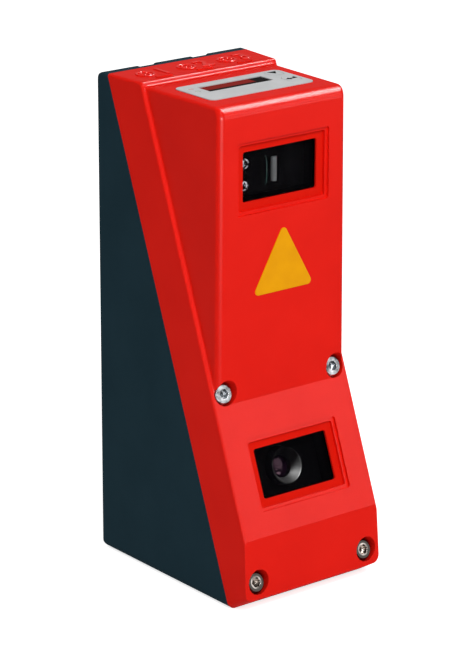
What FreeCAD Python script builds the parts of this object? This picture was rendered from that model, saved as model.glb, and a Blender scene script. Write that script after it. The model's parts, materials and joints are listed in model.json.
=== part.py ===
import FreeCAD, Part
import os
import re
import Sketcher
from FreeCAD import Vector

# Laser profile sensor: front is -Y, rear is +Y, +Z is up, origin at the middle of the base.
# The front cover is moulded along a pull direction that rises from the level by the tilt angle.

# Driving sizes in millimetres, and degrees for the drafts and the apex
SIZES = {
    # Whole sensor
    "width": 56,
    "depth": 74,
    "height": 160,
    "fit_gap": 0.1,
    "cut_over": 2,
    # Rear housing
    "foot_setback": 7.6,
    "top_depth": 5.1,
    "side_wall": 4,
    "rear_wall": 7,
    "floor_wall": 4,
    "head_wall": 14,
    "rear_round": 2.5,
    "base_round": 2.5,
    "groove_width": 7.4,
    "groove_depth": 3.5,
    "groove_pitch": 21,
    "groove_foot": 52,
    "tap_radius": 1.65,
    "tap_depth": 6,
    "tap_inset": 8,
    "tap_head": 34,
    "tap_foot": 66,
    "tap_spare": 0.5,
    # Connector bay in the lower rear face
    "bay_inset": 3,
    "bay_height": 30,
    "bay_foot": 8,
    "bay_depth": 15,
    "bay_wall": 3,
    # Gasket between housing and cover
    "gasket_width": 1.5,
    "gasket_thick": 1.2,
    "gasket_inset": 1.8,
    # Front cover
    "skirt_depth": 14.65,
    "skirt_draft": 4.5,
    "lip_height": 4.6,
    "bend_setback": 1.2,
    "cover_wall": 3,
    "block_setback": 16.4,
    "block_inset": 2.4,
    "block_draft": 1.3,
    "block_drop": 1.4,
    "block_side_round": 2.2,
    "block_brow_round": 3.6,
    "block_top_round": 1.2,
    "skirt_round": 0.8,
    "top_round": 1,
    "root_round": 0.8,
    "mark_relief": 0.3,
    "mark_length": 6,
    "mark_width": 0.8,
    "mark_offset": 13.3,
    "post_radius": 5.5,
    # Windows
    "window_width": 29,
    "window_height": 15.9,
    "window_margin": 3.55,
    "window_recess": 1.9,
    "window_step": 1.1,
    "window_step_depth": 0.8,
    "window_round": 0.8,
    "glass_setback": 2.6,
    "glass_thick": 1.2,
    "glass_lap": 1.5,
    "laser_drop": 25.1,
    "camera_drop": 2,
    "retainer_rim": 2,
    "laser_retainer_depth": 4.8,
    "camera_retainer_depth": 6,
    # Cover screws
    "screw_radius": 2,
    "screw_head_radius": 3.3,
    "screw_head_height": 4,
    "screw_head_bevel": 0.5,
    "screw_socket": 1.7,
    "screw_socket_depth": 2.2,
    "screw_bore": 3.9,
    "screw_inset": 6.1,
    "upper_screw_rise": 3.7,
    "upper_head_sink": 0.2,
    "upper_screw_length": 20,
    "lower_screw_s": 6.9,
    "lower_head_n": 9,
    "lower_screw_length": 12,
    "shank_gap": 0.15,
    "thread_gap": 0.05,
    "boss_radius": 4.6,
    "boss_depth": 12,
    # Triangular plate
    "plate_side": 24,
    "plate_apex": 58.6,
    "plate_drop": 37.8,
    "plate_thick": 0.25,
    "plate_round": 1.3,
    # Display panel
    "panel_inset": 7.6,
    "panel_depth": 19.6,
    "panel_shift": 1.07,
    "panel_thick": 0.8,
    "panel_seat": 0.6,
    "panel_round": 2.4,
    "display_inset": 8,
    "display_depth": 6.6,
    "display_x": -1.5,
    "display_rise": 2.7,
    "display_ledge": 0.8,
    "display_sink": 0.3,
    "lamp_inset": 3.6,
    "lamp_rise": 3.6,
    "lamp_pitch": 3.4,
    "lamp_radius": 0.8,
    "key_inset": 3.8,
    "key_rise": 1.9,
    "key_pitch": 8.6,
    "key_width": 5,
    "key_depth": 5,
    "key_gap": 0.2,
    "key_flange": 0.6,
    "key_room": 0.3,
    "key_flange_thick": 0.6,
    "key_lift": 0.1,
    "key_travel": 0.3,
    "key_stem_radius": 1.5,
    "key_round": 1.2,
    # Display board
    "board_thick": 1.6,
    "board_drop": 5.8,
    "board_margin": 0.8,
    "board_depth": 24,
    "board_post_inset": 11.5,
    "board_post_y": 9.2,
    "board_post_radius": 2.1,
    "small_screw_radius": 1,
    "small_head_radius": 1.9,
    "small_head_height": 1.3,
    "small_screw_length": 6,
    "module_lap": 0.6,
    "module_gap": 0.6,
    "switch_side": 6,
    "switch_height": 3.4,
    "lamp_chip": 1.6,
    "lamp_chip_height": 1.1,
    # Chassis
    "chassis_gap": 0.3,
    "chassis_head": 19,
    "chassis_thick": 3,
    "chassis_set": 1,
    "ledge_length": 10,
    "ledge_over": 5,
    "ledge_depth": 8,
    "ledge_rise": 1,
    "ledge_gap": 0.4,
    "ledge_head": 40,
    "ledge_screw_inset": 3.5,
    "mid_screw_radius": 1.5,
    "mid_head_radius": 2.75,
    "mid_head_height": 2,
    "mid_screw_length": 8,
    # Laser carrier
    "carrier_lap": 0.6,
    "carrier_over": 10,
    "carrier_under": 12,
    "carrier_setback": 8,
    "barrel_radius": 6,
    "barrel_tail": 11,
    "barrel_inset": 1,
    "barrel_bore": 3.2,
    "collimator_thick": 2.4,
    "driver_thick": 1.6,
    "holder_gap": 0.5,
    "holder_slack": 0.95,
    "holder_thick": 3,
    "holder_right": 5,
    "rod_radius": 1,
    "rod_length": 7.7,
    "beam_slot": 1.6,
    "holder_screw_inset": 1.8,
    "holder_screw_pitch": 7.1,
    "holder_head_radius": 1.7,
    "holder_head_height": 1,
    "holder_socket": 0.8,
    "carrier_screw_inset": 4,
    # Camera
    "camera_block_lap": 2,
    "camera_block_depth": 6,
    "lens_radius": 6,
    "lens_setback": 5.9,
    "lens_length": 15.6,
    "lens_lip": 0.45,
    "lens_cone_depth": 3.15,
    "lens_glass_radius": 3.7,
    "lens_glass_drop": 4.2,
    "lens_glass_thick": 2.2,
    "lens_dome": 0.7,
    "lens_clearance": 1,
    "sensor_mount_gap": 1.7,
    "sensor_mount_wall": 3,
    "sensor_mount_depth": 6,
    "sensor_chip": 12,
    "sensor_chip_thick": 1.5,
    # Main board
    "main_margin": 2.8,
    "main_foot": 22,
    "main_head": 40,
    "spacer_radius": 2.5,
    "spacer_length": 9,
    "spacer_edge": 0.8,
    "spacer_inset": 14,
    "chip_side": 14,
    "chip_thick": 2,
    "capacitor_radius": 3,
    "capacitor_length": 5,
    "capacitor_pitch": 9,
    "capacitor_drop": 22.5,
    "ribbon_thick": 0.6,
    "ribbon_width": 4,
    "ribbon_shift": 4.4,
    "ribbon_rise": 16,
    # Round cable ports
    "port_margin": 1,
    "port_lip": 1.4,
    "port_wall": 1.6,
    "port_length": 10,
    "port_bore_depth": 9,
    "port_flange_gap": 0.6,
    "port_flange_thick": 2,
    "port_tail": 8,
    "port_bevel": 0.5,
    "port_gap": 0.15,
    "insert_length": 16,
    "pin_radius": 0.5,
    "pin_length": 6,
    "pin_inset": 1.9,
    "seal_inset": 0.3,
    "seal_thick": 0.8,
    "nut_gap": 0.1,
    "nut_thick": 3,
    "port_board_margin": 2,
    "port_board_height": 18,
    "flex_width": 16,
    "flex_thick": 0.4,
}

# Sizes worked out from the driving ones
DERIVED = {
    # Whole sensor
    "rear_y": "depth / 2",
    "front_y": "-depth / 2",
    "foot_y": "front_y + foot_setback",
    "skirt_top": "height - mark_relief",
    "tilt": "atan((depth - foot_setback - top_depth) / skirt_top) / 1deg",
    "seam_length": "skirt_top / cos(tilt)",
    "bar_length": "2 * (width + depth + height)",
    # Rear housing
    "tap_x": "width / 2 - tap_inset",
    "bay_width": "width - 2 * bay_inset",
    "bay_y": "rear_y - bay_depth",
    # Front cover
    "slant_foot_y": "foot_y - skirt_depth / cos(tilt)",
    "block_top": "skirt_top - block_drop",
    "block_y": "front_y + block_setback",
    "block_width": "width - 2 * block_inset",
    "bend_y": "front_y + bend_setback",
    "bend_z": "(bend_y - slant_foot_y) / tan(tilt)",
    "junction_z": "(block_y - slant_foot_y) / tan(tilt)",
    "junction_s": "(junction_z - skirt_depth * sin(tilt)) / cos(tilt)",
    "cover_room": "block_width - 2 * cover_wall",
    "ceiling_z": "block_top - cover_wall",
    "laser_height": "height - laser_drop",
    "camera_height": "(bend_z + junction_z) / 2 - camera_drop",
    "camera_s": "(camera_height - skirt_depth * sin(tilt)) / cos(tilt)",
    "screw_x": "width / 2 - screw_inset",
    "upper_screw_s": "junction_s + upper_screw_rise",
    "upper_head_n": "skirt_depth - upper_head_sink",
    "plate_foot": "laser_height - plate_drop",
    "plate_height": "plate_side / 2 / tan(plate_apex / 2)",
    # Display panel and its board
    "panel_width": "width - 2 * panel_inset",
    "panel_y": "(block_y + slant_foot_y + tan(tilt) * block_top) / 2 + panel_shift",
    "seat_z": "block_top - panel_seat",
    "panel_z": "seat_z + panel_thick",
    "display_width": "panel_width - 2 * display_inset",
    "display_y": "panel_y + display_rise",
    "lamp_x": "-panel_width / 2 + lamp_inset",
    "lamp_y": "panel_y + lamp_rise",
    "key_x": "panel_width / 2 - key_inset",
    "key_y": "panel_y + key_rise",
    "board_width": "panel_width - 2 * board_margin",
    "board_post_x": "board_width / 2 - board_post_inset",
    "board_z": "ceiling_z - board_drop",
    "module_height": "board_drop - module_gap",
    "key_flange_z": "seat_z - key_lift",
    "key_stem_z": "board_z + switch_height + key_travel + key_lift",
    # Chassis
    "chassis_width": "2 * (screw_x - boss_radius - chassis_gap)",
    "chassis_length": "seam_length - chassis_foot - chassis_head",
    "chassis_n": "-chassis_set",
    "chassis_back_n": "-chassis_set - chassis_thick",
    "chassis_foot": "ledge_low - ledge_rise",
    "ledge_low": "camera_s - sensor_mount_width / 2 - ledge_gap - ledge_length",
    "ledge_high": "seam_length - chassis_head - ledge_head",
    "ledge_screw_x": "chassis_width / 2 - ledge_screw_inset",
    "ledge_inner_x": "ledge_screw_x - ledge_over",
    # Laser and camera
    "carrier_y": "block_y + carrier_setback",
    "carrier_width": "chassis_width + 2 * carrier_lap",
    "carrier_screw_x": "chassis_width / 2 - carrier_screw_inset",
    "barrel_length": "foot_y + tan(tilt) * laser_height - carrier_y - barrel_tail",
    "holder_left": "window_width / 2 - holder_gap",
    "holder_width": "holder_left + holder_right",
    "holder_height": "window_height - 2 * holder_slack",
    "holder_x": "(holder_right - holder_left) / 2",
    "holder_screw_x": "holder_screw_inset - holder_left",
    "camera_block_width": "chassis_width + 2 * camera_block_lap",
    "camera_block_height": "sensor_mount_width",
    "lens_front_n": "skirt_depth - lens_setback",
    "sensor_mount_width": "2 * (spacer_x - spacer_radius - sensor_mount_gap)",
    "sensor_n": "chassis_back_n - sensor_mount_depth",
    # Main board
    "spacer_x": "chassis_width / 2 - spacer_edge",
    "main_width": "2 * (spacer_x + main_margin)",
    "main_length": "seam_length - chassis_head - main_head - main_foot",
    "main_n": "chassis_back_n - spacer_length",
    "main_back_n": "main_n - board_thick",
    "main_end_s": "main_foot + main_length - spacer_inset",
    "ribbon_front": "panel_y + ribbon_shift",
    # Cable ports
    "port_pitch": "(bay_width - 2 * port_margin) / 3",
    "port_flange_radius": "port_pitch / 2 - port_flange_gap",
    "port_radius": "port_flange_radius - port_lip",
    "port_bore": "port_radius - port_wall",
    "pin_circle": "port_bore - pin_inset",
    "seal_radius": "port_flange_radius - seal_inset",
    "nut_radius": "port_pitch / 2 - nut_gap",
    "port_board_width": "bay_width - 2 * port_board_margin",
    "port_z": "bay_foot + bay_height / 2",
    "port_flange_y": "bay_y + seal_thick",
    "port_end_y": "port_flange_y + port_flange_thick + port_length",
    "insert_y": "port_end_y - port_bore_depth",
    "port_board_y": "insert_y - insert_length",
}

doc = FreeCAD.newDocument("laser_profile_sensor")
sheet = doc.addObject("Spreadsheet::Sheet", "Sizes")
for row, (alias, size) in enumerate(SIZES.items(), start=1):
    sheet.set(f"A{row}", alias)
    sheet.set(f"B{row}", str(size))
    sheet.setAlias(f"B{row}", alias)
doc.recompute()

WORD = re.compile(r"[a-z][a-z0-9_]*")
WHOLE_TURN = 360
ALIGNED = 1e-6
NEARLY_ALIGNED = 0.2
OFF_MIDDLE = 1
nodes = {}


# Formulas
def formula(text):
    """Formula of the sheet with derived sizes spelled out."""
    def spell(match):
        word = match.group(0)
        if word in SIZES:
            return f"Sizes.{word}"
        if word in DERIVED:
            return f"({formula(DERIVED[word])})"
        return word
    return WORD.sub(spell, str(text))


def number(text):
    """Number that a formula comes to."""
    found = sheet.evalExpression(formula(text))
    return float(getattr(found, "Value", found))


def bind(thing, **formulas):
    """Tie properties of an object to formulas of the sheet."""
    for name, text in formulas.items():
        thing.setExpression(name, formula(text))


def seam(z):
    """Depth of the parting plane at a height."""
    return f"(foot_y + tan(tilt) * ({z}))"


def slant(z):
    """Depth of the slanted front plane at a height."""
    return f"(slant_foot_y + tan(tilt) * ({z}))"


def behind_seam(z, distance):
    """Depth of a plane that lies behind the parting plane and along it."""
    return f"(foot_y + tan(tilt) * ({z}) + ({distance}) / cos(tilt))"


# Frames: a runs along X, b up the face and c out of it
def place(frame, a, b, c):
    """Placement formula of a point in one of the part's four frames."""
    level, front, rear = (a, b, c, "0"), (a, f"-({c})", b, "90"), (a, c, b, "-90")
    rise = f"({b}) * cos(tilt) + ({c}) * sin(tilt)"
    reach = f"foot_y + ({b}) * sin(tilt) - ({c}) * cos(tilt)"
    spots = {"level": level, "front": front, "rear": rear, "pull": (a, reach, rise, "90 - tilt")}
    x, y, z, turn = spots[frame]
    return f"placement(vector({x}; {y}; {z}); rotation(vector(1; 0; 0); {turn}))"


# Drawing and shaping
def plane_of(body, role):
    """Origin plane of a body."""
    return next(item for item in body.Origin.OriginFeatures if item.Role == role)


def outline(body, role, points):
    """Closed sketch of straight lines through points that are formulas."""
    sketch = body.newObject("Sketcher::SketchObject", f"{body.Name}_outline")
    sketch.AttachmentSupport = [(plane_of(body, role), "")]
    sketch.MapMode = "FlatFace"
    corners = [Vector(number(x), number(y), 0) for x, y in points]
    count = len(corners)
    for index, corner in enumerate(corners):
        sketch.addGeometry(Part.LineSegment(corner, corners[(index + 1) % count]))
    for index in range(count):
        sketch.addConstraint(Sketcher.Constraint("Coincident", index, 2, (index + 1) % count, 1))
    for index, (x, y) in enumerate(points):
        for kind, text in (("DistanceX", x), ("DistanceY", y)):
            rule = sketch.addConstraint(Sketcher.Constraint(kind, -1, 1, index, 1, number(text)))
            sketch.setExpression(f"Constraints[{rule}]", formula(text))
    return sketch


def prism(name, points, width, role="YZ_Plane"):
    """Side outline of (depth, height) points, padded evenly to both sides."""
    body = doc.addObject("PartDesign::Body", name)
    pad = body.newObject("PartDesign::Pad", f"{name}_pad")
    pad.Profile = outline(body, role, points)
    pad.SideType = "Symmetric"
    bind(pad, Length=width)
    return body


def rectangle(width, height):
    """Corners of a rectangle about its middle."""
    signs = ((-1, -1), (1, -1), (1, 1), (-1, 1))
    return [(f"{i} * ({width}) / 2", f"{j} * ({height}) / 2") for i, j in signs]


def slab(name, frame, centre, size, span, corner=None):
    """Flat piece: a rectangle about a centre, padded from one level to another."""
    body = doc.addObject("PartDesign::Body", name)
    pad = body.newObject("PartDesign::Pad", f"{name}_pad")
    pad.Profile = outline(body, "XY_Plane", rectangle(*size))
    bind(pad, Length=f"({span[1]}) - ({span[0]})")
    bind(body, Placement=place(frame, *centre, span[0]))
    if corner:
        round_body(body, lambda edge: runs_along(edge, Vector(0, 0, 1)), corner)
    return body


def drafted_bar(name, width, draft, span):
    """Long bar up the parting plane whose sides lean in along the pull direction."""
    tall = f"({span[1]}) - ({span[0]})"
    half = f"({width}) / 2"
    lean = f"({tall}) * tan({draft})"
    points = [(f"-{half}", "0"), (half, "0"), (f"{half} - {lean}", tall), (f"-{half} + {lean}", tall)]
    bar = prism(name, points, "bar_length", "XZ_Plane")
    bind(bar, Placement=place("pull", "0", "0", span[0]))
    return bar


def rod(name, frame, centre, span, radius):
    """Round piece from one level to another."""
    cylinder = doc.addObject("Part::Cylinder", name)
    bind(cylinder, Radius=radius, Height=f"({span[1]}) - ({span[0]})")
    bind(cylinder, Placement=place(frame, *centre, span[0]))
    return cylinder


def turned(name, frame, centre, profile):
    """Turned piece from (radius, level) points."""
    body = doc.addObject("PartDesign::Body", name)
    sketch = outline(body, "XZ_Plane", profile)
    spin = body.newObject("PartDesign::Revolution", f"{name}_spin")
    spin.Profile = sketch
    spin.ReferenceAxis = (sketch, ["V_Axis"])
    spin.Angle = WHOLE_TURN
    bind(body, Placement=place(frame, *centre, "0"))
    return body


def six_sided(name, frame, centre, span, radius):
    """Hexagonal piece from one level to another."""
    hexagon = doc.addObject("Part::Prism", name)
    bind(hexagon, Circumradius=radius, Height=f"({span[1]}) - ({span[0]})")
    bind(hexagon, Placement=place(frame, *centre, span[0]))
    return hexagon


def runs_along(edge, direction, slack=ALIGNED):
    """True for a straight edge along a direction, give or take some slack."""
    straight = edge.Curve.TypeId == "Part::GeomLine"
    return straight and edge.tangentAt(edge.FirstParameter).cross(direction).Length < slack


def round_body(body, test, radius):
    """Fillet the edges of a body that a test picks."""
    doc.recompute()
    tip = body.Tip
    names = [f"Edge{index}" for index, edge in enumerate(tip.Shape.Edges, start=1) if test(edge)]
    fillet = body.newObject("PartDesign::Fillet", f"{body.Name}_round")
    fillet.Base = (tip, names)
    bind(fillet, Radius=radius)


def round_edges(name, base, rules):
    """Fillet the edges of a shape by (test, radius) rules."""
    doc.recompute()
    picked = {}
    for index, edge in enumerate(base.Shape.Edges, start=1):
        for test, radius in rules:
            if index not in picked and test(edge):
                picked[index] = number(radius)
    fillet = doc.addObject("Part::Fillet", name)
    fillet.Base = base
    fillet.Edges = [(index, radius, radius) for index, radius in picked.items()]
    return fillet


def join(name, pieces):
    """One solid from pieces that touch or overlap."""
    fused = doc.addObject("Part::MultiFuse", name)
    fused.Shapes = pieces
    fused.Refine = True
    return fused


def cut(name, base, tools):
    """A piece with the tools taken away."""
    carved = doc.addObject("Part::Cut", name)
    carved.Base = base
    carved.Tool = tools[0] if len(tools) == 1 else join(f"{name}_tools", tools)
    return carved


def overlap(name, pieces):
    """What two pieces have in common."""
    shared = doc.addObject("Part::MultiCommon", name)
    shared.Shapes = pieces
    return shared


def group(name, pieces):
    """Separate solids that share one node."""
    compound = doc.addObject("Part::Compound", name)
    compound.Links = pieces
    return compound


def keep(name, thing):
    """Hold a finished sub-part under its node name."""
    thing.Label = name
    nodes[name] = thing
    return thing


def both(value):
    """A distance to the left and the same to the right."""
    return [f"-({value})", value]


# Screws
def socket_screw(name, frame, centre, seat, head, shank, socket):
    """Cap screw: seat level, (radius, height, bevel), (radius, length), (radius, depth)."""
    top = f"({seat}) + ({head[1]})"
    profile = [
        ("0", f"({seat}) - ({shank[1]})"),
        (shank[0], f"({seat}) - ({shank[1]})"),
        (shank[0], seat),
        (head[0], seat),
        (head[0], f"{top} - ({head[2]})"),
        (f"({head[0]}) - ({head[2]})", top),
        ("0", top),
    ]
    blank = turned(f"{name}_blank", frame, centre, profile)
    span = (f"{top} - ({socket[1]})", f"{top} + cut_over")
    return cut(name, blank, [six_sided(f"{name}_socket", frame, centre, span, socket[0])])


def screw_set(name, frame, spots, seat, head, shank, socket):
    """Group of equal cap screws."""
    screws = [
        socket_screw(f"{name}_{index}", frame, spot, seat, head, shank, socket)
        for index, spot in enumerate(spots)
    ]
    return keep(name, group(name, screws))


def plain_screws(name, frame, spots, seat, size):
    """Group of equal screws whose plain heads hang below a seat level."""
    head = (f"({seat}) - {size}_head_height", seat)
    shank = (seat, f"({seat}) + {size}_screw_length")
    screws = []
    for index, spot in enumerate(spots):
        cap = rod(f"{name}_head_{index}", frame, spot, head, f"{size}_head_radius")
        shaft = rod(f"{name}_shank_{index}", frame, spot, shank, f"{size}_screw_radius")
        screws.append(join(f"{name}_{index}", [cap, shaft]))
    return keep(name, group(name, screws))


# Places that several pieces share
PORTS = ["-port_pitch", "0", "port_pitch"]
LAMPS = [("lamp_x", f"lamp_y {sign} lamp_pitch / 2") for sign in "+-"]
KEYS = {
    "down_key": ("key_x", "key_y + key_pitch / 2"),
    "enter_key": ("key_x", "key_y - key_pitch / 2"),
}
BOARD_POSTS = [(x, f"panel_y {sign} board_post_y") for x in both("board_post_x") for sign in "+-"]
LEDGE_ROWS = ["ledge_low + ledge_length / 2", "ledge_high + ledge_length / 2"]
LEDGES = [(x, row) for row in LEDGE_ROWS for x in both("ledge_screw_x")]
SPACERS = [(x, s) for x in both("spacer_x") for s in ("main_foot + spacer_inset", "main_end_s")]
CARRIER_ROW = "laser_height / cos(tilt) - chassis_set * tan(tilt)"
CARRIER_SCREWS = [(x, CARRIER_ROW) for x in both("carrier_screw_x")]
HOLDER_SCREWS = [("holder_screw_x", f"laser_height {sign} holder_screw_pitch / 2") for sign in "+-"]
HOLDER_FACE = "-carrier_y + holder_thick"

# Cover screws
M4_HEAD = ("screw_head_radius", "screw_head_height", "screw_head_bevel")
M4_SOCKET = ("screw_socket", "screw_socket_depth")
UPPER_SCREWS = [(x, "upper_screw_s") for x in both("screw_x")]
LOWER_SCREWS = [(x, "lower_screw_s") for x in both("screw_x")]
UPPER_SEAT = "upper_head_n - screw_head_height"
LOWER_SEAT = "lower_head_n - screw_head_height"


def cover_screws():
    """Four cap screws along the pull direction."""
    upper = ("screw_radius", "upper_screw_length")
    lower = ("screw_radius", "lower_screw_length")
    screw_set("upper_cover_screws", "pull", UPPER_SCREWS, UPPER_SEAT, M4_HEAD, upper, M4_SOCKET)
    screw_set("lower_cover_screws", "pull", LOWER_SCREWS, LOWER_SEAT, M4_HEAD, lower, M4_SOCKET)


# Rear housing
def housing_room():
    """Hollow of the housing, open at the parting plane, with bosses, ledges and bay walls left standing."""
    floor, roof = "floor_wall", "height - head_wall"
    back = "rear_y - rear_wall"
    points = [
        (back, floor),
        (back, roof),
        (f"{seam(roof)} - cut_over", roof),
        (f"{seam(floor)} - cut_over", floor),
    ]
    hollow = prism("housing_hollow", points, "width - 2 * side_wall")
    standing = [
        rod(f"housing_boss_{index}", "pull", spot, ("-boss_depth", "depth"), "boss_radius")
        for index, spot in enumerate(UPPER_SCREWS + LOWER_SCREWS)
    ]
    for level, row in enumerate(LEDGE_ROWS):
        for index, x in enumerate(both("(width / 2 + ledge_inner_x) / 2")):
            span = ("chassis_back_n - ledge_depth", "chassis_back_n")
            size = ("width / 2 - ledge_inner_x", "ledge_length")
            standing.append(slab(f"housing_ledge_{level}_{index}", "pull", (x, row), size, span))
    bay_block = ("width", "bay_height + bay_foot + bay_wall")
    centre = ("0", "(bay_foot + bay_height + bay_wall) / 2")
    standing.append(slab("bay_block", "rear", centre, bay_block, ("bay_y - bay_wall", "rear_y")))
    return cut("housing_room", hollow, standing)


def gasket_ring(name):
    """Flat ring along the parting plane."""
    centre = ("0", "seam_length / 2")
    outer = [f"{side} - 2 * gasket_inset" for side in ("width", "seam_length")]
    inner = [f"{side} - 2 * (gasket_inset + gasket_width)" for side in ("width", "seam_length")]
    outside = slab(f"{name}_outside", "pull", centre, outer, ("-gasket_thick", "0"))
    inside = slab(f"{name}_inside", "pull", centre, inner, ("-gasket_thick - cut_over", "cut_over"))
    return cut(name, outside, [inside])


def rear_housing():
    """Cast wedge with two rear grooves, a connector bay and threaded holes."""
    points = [
        ("rear_y", "0"),
        ("rear_y", "skirt_top"),
        (seam("skirt_top"), "skirt_top"),
        ("foot_y", "0"),
    ]
    block = prism("housing_block", points, "width")
    rear = number("rear_y")
    across, along = Vector(1, 0, 0), Vector(0, 1, 0)
    rules = [
        (lambda edge: runs_along(edge, across) and abs(edge.CenterOfMass.y - rear) < ALIGNED, "rear_round"),
        (lambda edge: runs_along(edge, along) and abs(edge.CenterOfMass.z) < ALIGNED, "base_round"),
        (lambda edge: runs_along(edge, along) and edge.CenterOfMass.z > ALIGNED, "top_round"),
    ]
    shell = round_edges("housing_shell", block, rules)
    tools = [housing_room(), gasket_ring("gasket_groove")]
    for index, x in enumerate(both("groove_pitch / 2")):
        tall = "height - groove_foot + cut_over"
        centre = (x, "groove_foot + (height - groove_foot + cut_over) / 2")
        span = ("rear_y - groove_depth", "rear_y + cut_over")
        tools.append(slab(f"rear_groove_{index}", "rear", centre, ("groove_width", tall), span))
    for index, x in enumerate(both("tap_x")):
        for level, z in enumerate(("tap_foot", "height - tap_head")):
            span = ("rear_y - tap_depth", "rear_y + cut_over")
            tools.append(rod(f"rear_tap_{index}_{level}", "rear", (x, z), span, "tap_radius"))
    bay = ("bay_y", "rear_y + cut_over")
    tools.append(slab("bay", "rear", ("0", "port_z"), ("bay_width", "bay_height"), bay, "rear_round"))
    for index, x in enumerate(PORTS):
        span = ("bay_y - bay_wall - cut_over", "rear_y")
        tools.append(rod(f"port_hole_{index}", "rear", (x, "port_z"), span, "port_radius + port_gap"))
    for index, spot in enumerate(UPPER_SCREWS):
        span = (f"{UPPER_SEAT} - upper_screw_length - tap_spare", "cut_over")
        tools.append(rod(f"upper_tap_{index}", "pull", spot, span, "screw_radius + thread_gap"))
    for index, spot in enumerate(LOWER_SCREWS):
        span = (f"{LOWER_SEAT} - lower_screw_length - tap_spare", "cut_over")
        tools.append(rod(f"lower_tap_{index}", "pull", spot, span, "screw_radius + thread_gap"))
    for index, spot in enumerate(LEDGES):
        span = ("chassis_back_n - ledge_depth - cut_over", "cut_over")
        tools.append(rod(f"ledge_tap_{index}", "pull", spot, span, "mid_screw_radius + thread_gap"))
    keep("rear_housing", cut("rear_housing", shell, tools))


# Front cover
def lies_on_slant(edge):
    """True for an edge whose points all lie on the slanted front plane."""
    rise, reach = number("sin(tilt)"), number("cos(tilt)")
    points = [edge.valueAt(value) for value in (edge.FirstParameter, edge.LastParameter)]
    points.append(edge.CenterOfMass)
    outs = [point.z * rise - (point.y - number("foot_y")) * reach for point in points]
    return all(abs(out - number("skirt_depth")) < ALIGNED for out in outs)


def cover_shell():
    """Outer form of the cover: a drafted skirt and the upright block on it."""
    skirt_points = [
        (seam("skirt_top"), "skirt_top"),
        (slant("skirt_top"), "skirt_top"),
        ("bend_y", "bend_z"),
        ("front_y", "lip_height"),
        ("foot_y", "0"),
    ]
    skirt = overlap("skirt", [
        prism("skirt_side", skirt_points, "width"),
        drafted_bar("skirt_bar", "width", "skirt_draft", ("0", "skirt_depth + cut_over")),
    ])
    foot, lip = number("foot_y"), number("lip_height")
    underside = Vector(0, number("front_y") - foot, lip).normalize()

    def under_edge(edge):
        return runs_along(edge, underside, NEARLY_ALIGNED) and edge.CenterOfMass.z < lip

    def crown_edge(edge):
        middle = edge.CenterOfMass
        return abs(middle.z - number("skirt_top")) < ALIGNED and abs(middle.x) > OFF_MIDDLE

    eased = round_edges("skirt_eased", skirt, [(under_edge, "base_round"), (crown_edge, "top_round")])
    rounded = round_edges("skirt_rounded", eased, [(lies_on_slant, "skirt_round")])
    block_points = [
        (f"{slant('block_top')} + cover_wall", "block_top"),
        ("block_y", "block_top"),
        ("block_y", "junction_z"),
        ("block_y + cover_wall", "junction_z"),
    ]
    block = overlap("block", [
        prism("block_side", block_points, "width"),
        drafted_bar("block_bar", "block_width", "block_draft", ("skirt_depth - cover_wall", "depth")),
    ])
    front, top = number("block_y"), number("block_top")
    upright = Vector(0, 0, 1)

    def side_edge(edge):
        middle = edge.CenterOfMass
        on_side = abs(middle.y - front) < ALIGNED and abs(middle.x) > OFF_MIDDLE
        return on_side and runs_along(edge, upright, NEARLY_ALIGNED)

    def brow_edge(edge):
        middle = edge.CenterOfMass
        return abs(middle.y - front) < ALIGNED and abs(middle.z - top) < ALIGNED

    def top_edge(edge):
        middle = edge.CenterOfMass
        return abs(middle.z - top) < ALIGNED and abs(middle.x) > OFF_MIDDLE

    rules = [
        (side_edge, "block_side_round"),
        (brow_edge, "block_brow_round"),
        (top_edge, "block_top_round"),
    ]
    softened = round_edges("block_softened", block, rules)
    bars = [
        slab(f"mark_bar_{index}", "level", (x, f"{seam('skirt_top')} - mark_offset"),
             ("mark_length", "mark_width"), ("skirt_top - mark_relief", "height"))
        for index, x in enumerate(PORTS)
    ]
    shell = join("cover_blank", [rounded, softened])

    def root_edge(edge):
        inside = abs(edge.CenterOfMass.x) < number("block_width / 2 + root_round")
        return inside and lies_on_slant(edge) and edge.CenterOfMass.z > number("junction_z - root_round")

    rooted = round_edges("cover_rooted", shell, [(root_edge, "root_round")])
    return join("cover_shell", [rooted] + bars)


def cover_room():
    """Hollow of the cover, open at the parting plane, with screw posts and board posts left standing."""
    roof, floor = "ceiling_z", "lip_height + cover_wall"
    inner_slant = "(slant_foot_y + cover_wall / cos(tilt))"
    inner_block = "(block_y + cover_wall)"
    inner_bend = "(bend_y + cover_wall)"
    points = [
        (f"{seam(roof)} + cut_over", roof),
        (inner_block, roof),
        (inner_block, f"({inner_block} - {inner_slant}) / tan(tilt)"),
        (inner_bend, f"({inner_bend} - {inner_slant}) / tan(tilt)"),
        (inner_bend, floor),
        (f"{seam(floor)} + cut_over", floor),
    ]
    hollow = prism("cover_hollow", points, "cover_room")
    standing = [
        rod(f"cover_post_{index}", "pull", spot, ("-depth", "depth"), "post_radius")
        for index, spot in enumerate(UPPER_SCREWS + LOWER_SCREWS)
    ]
    for index, spot in enumerate(BOARD_POSTS):
        span = ("board_z", "block_top")
        standing.append(rod(f"board_post_{index}", "level", spot, span, "board_post_radius"))
    return cut("cover_room", hollow, standing)


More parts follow.
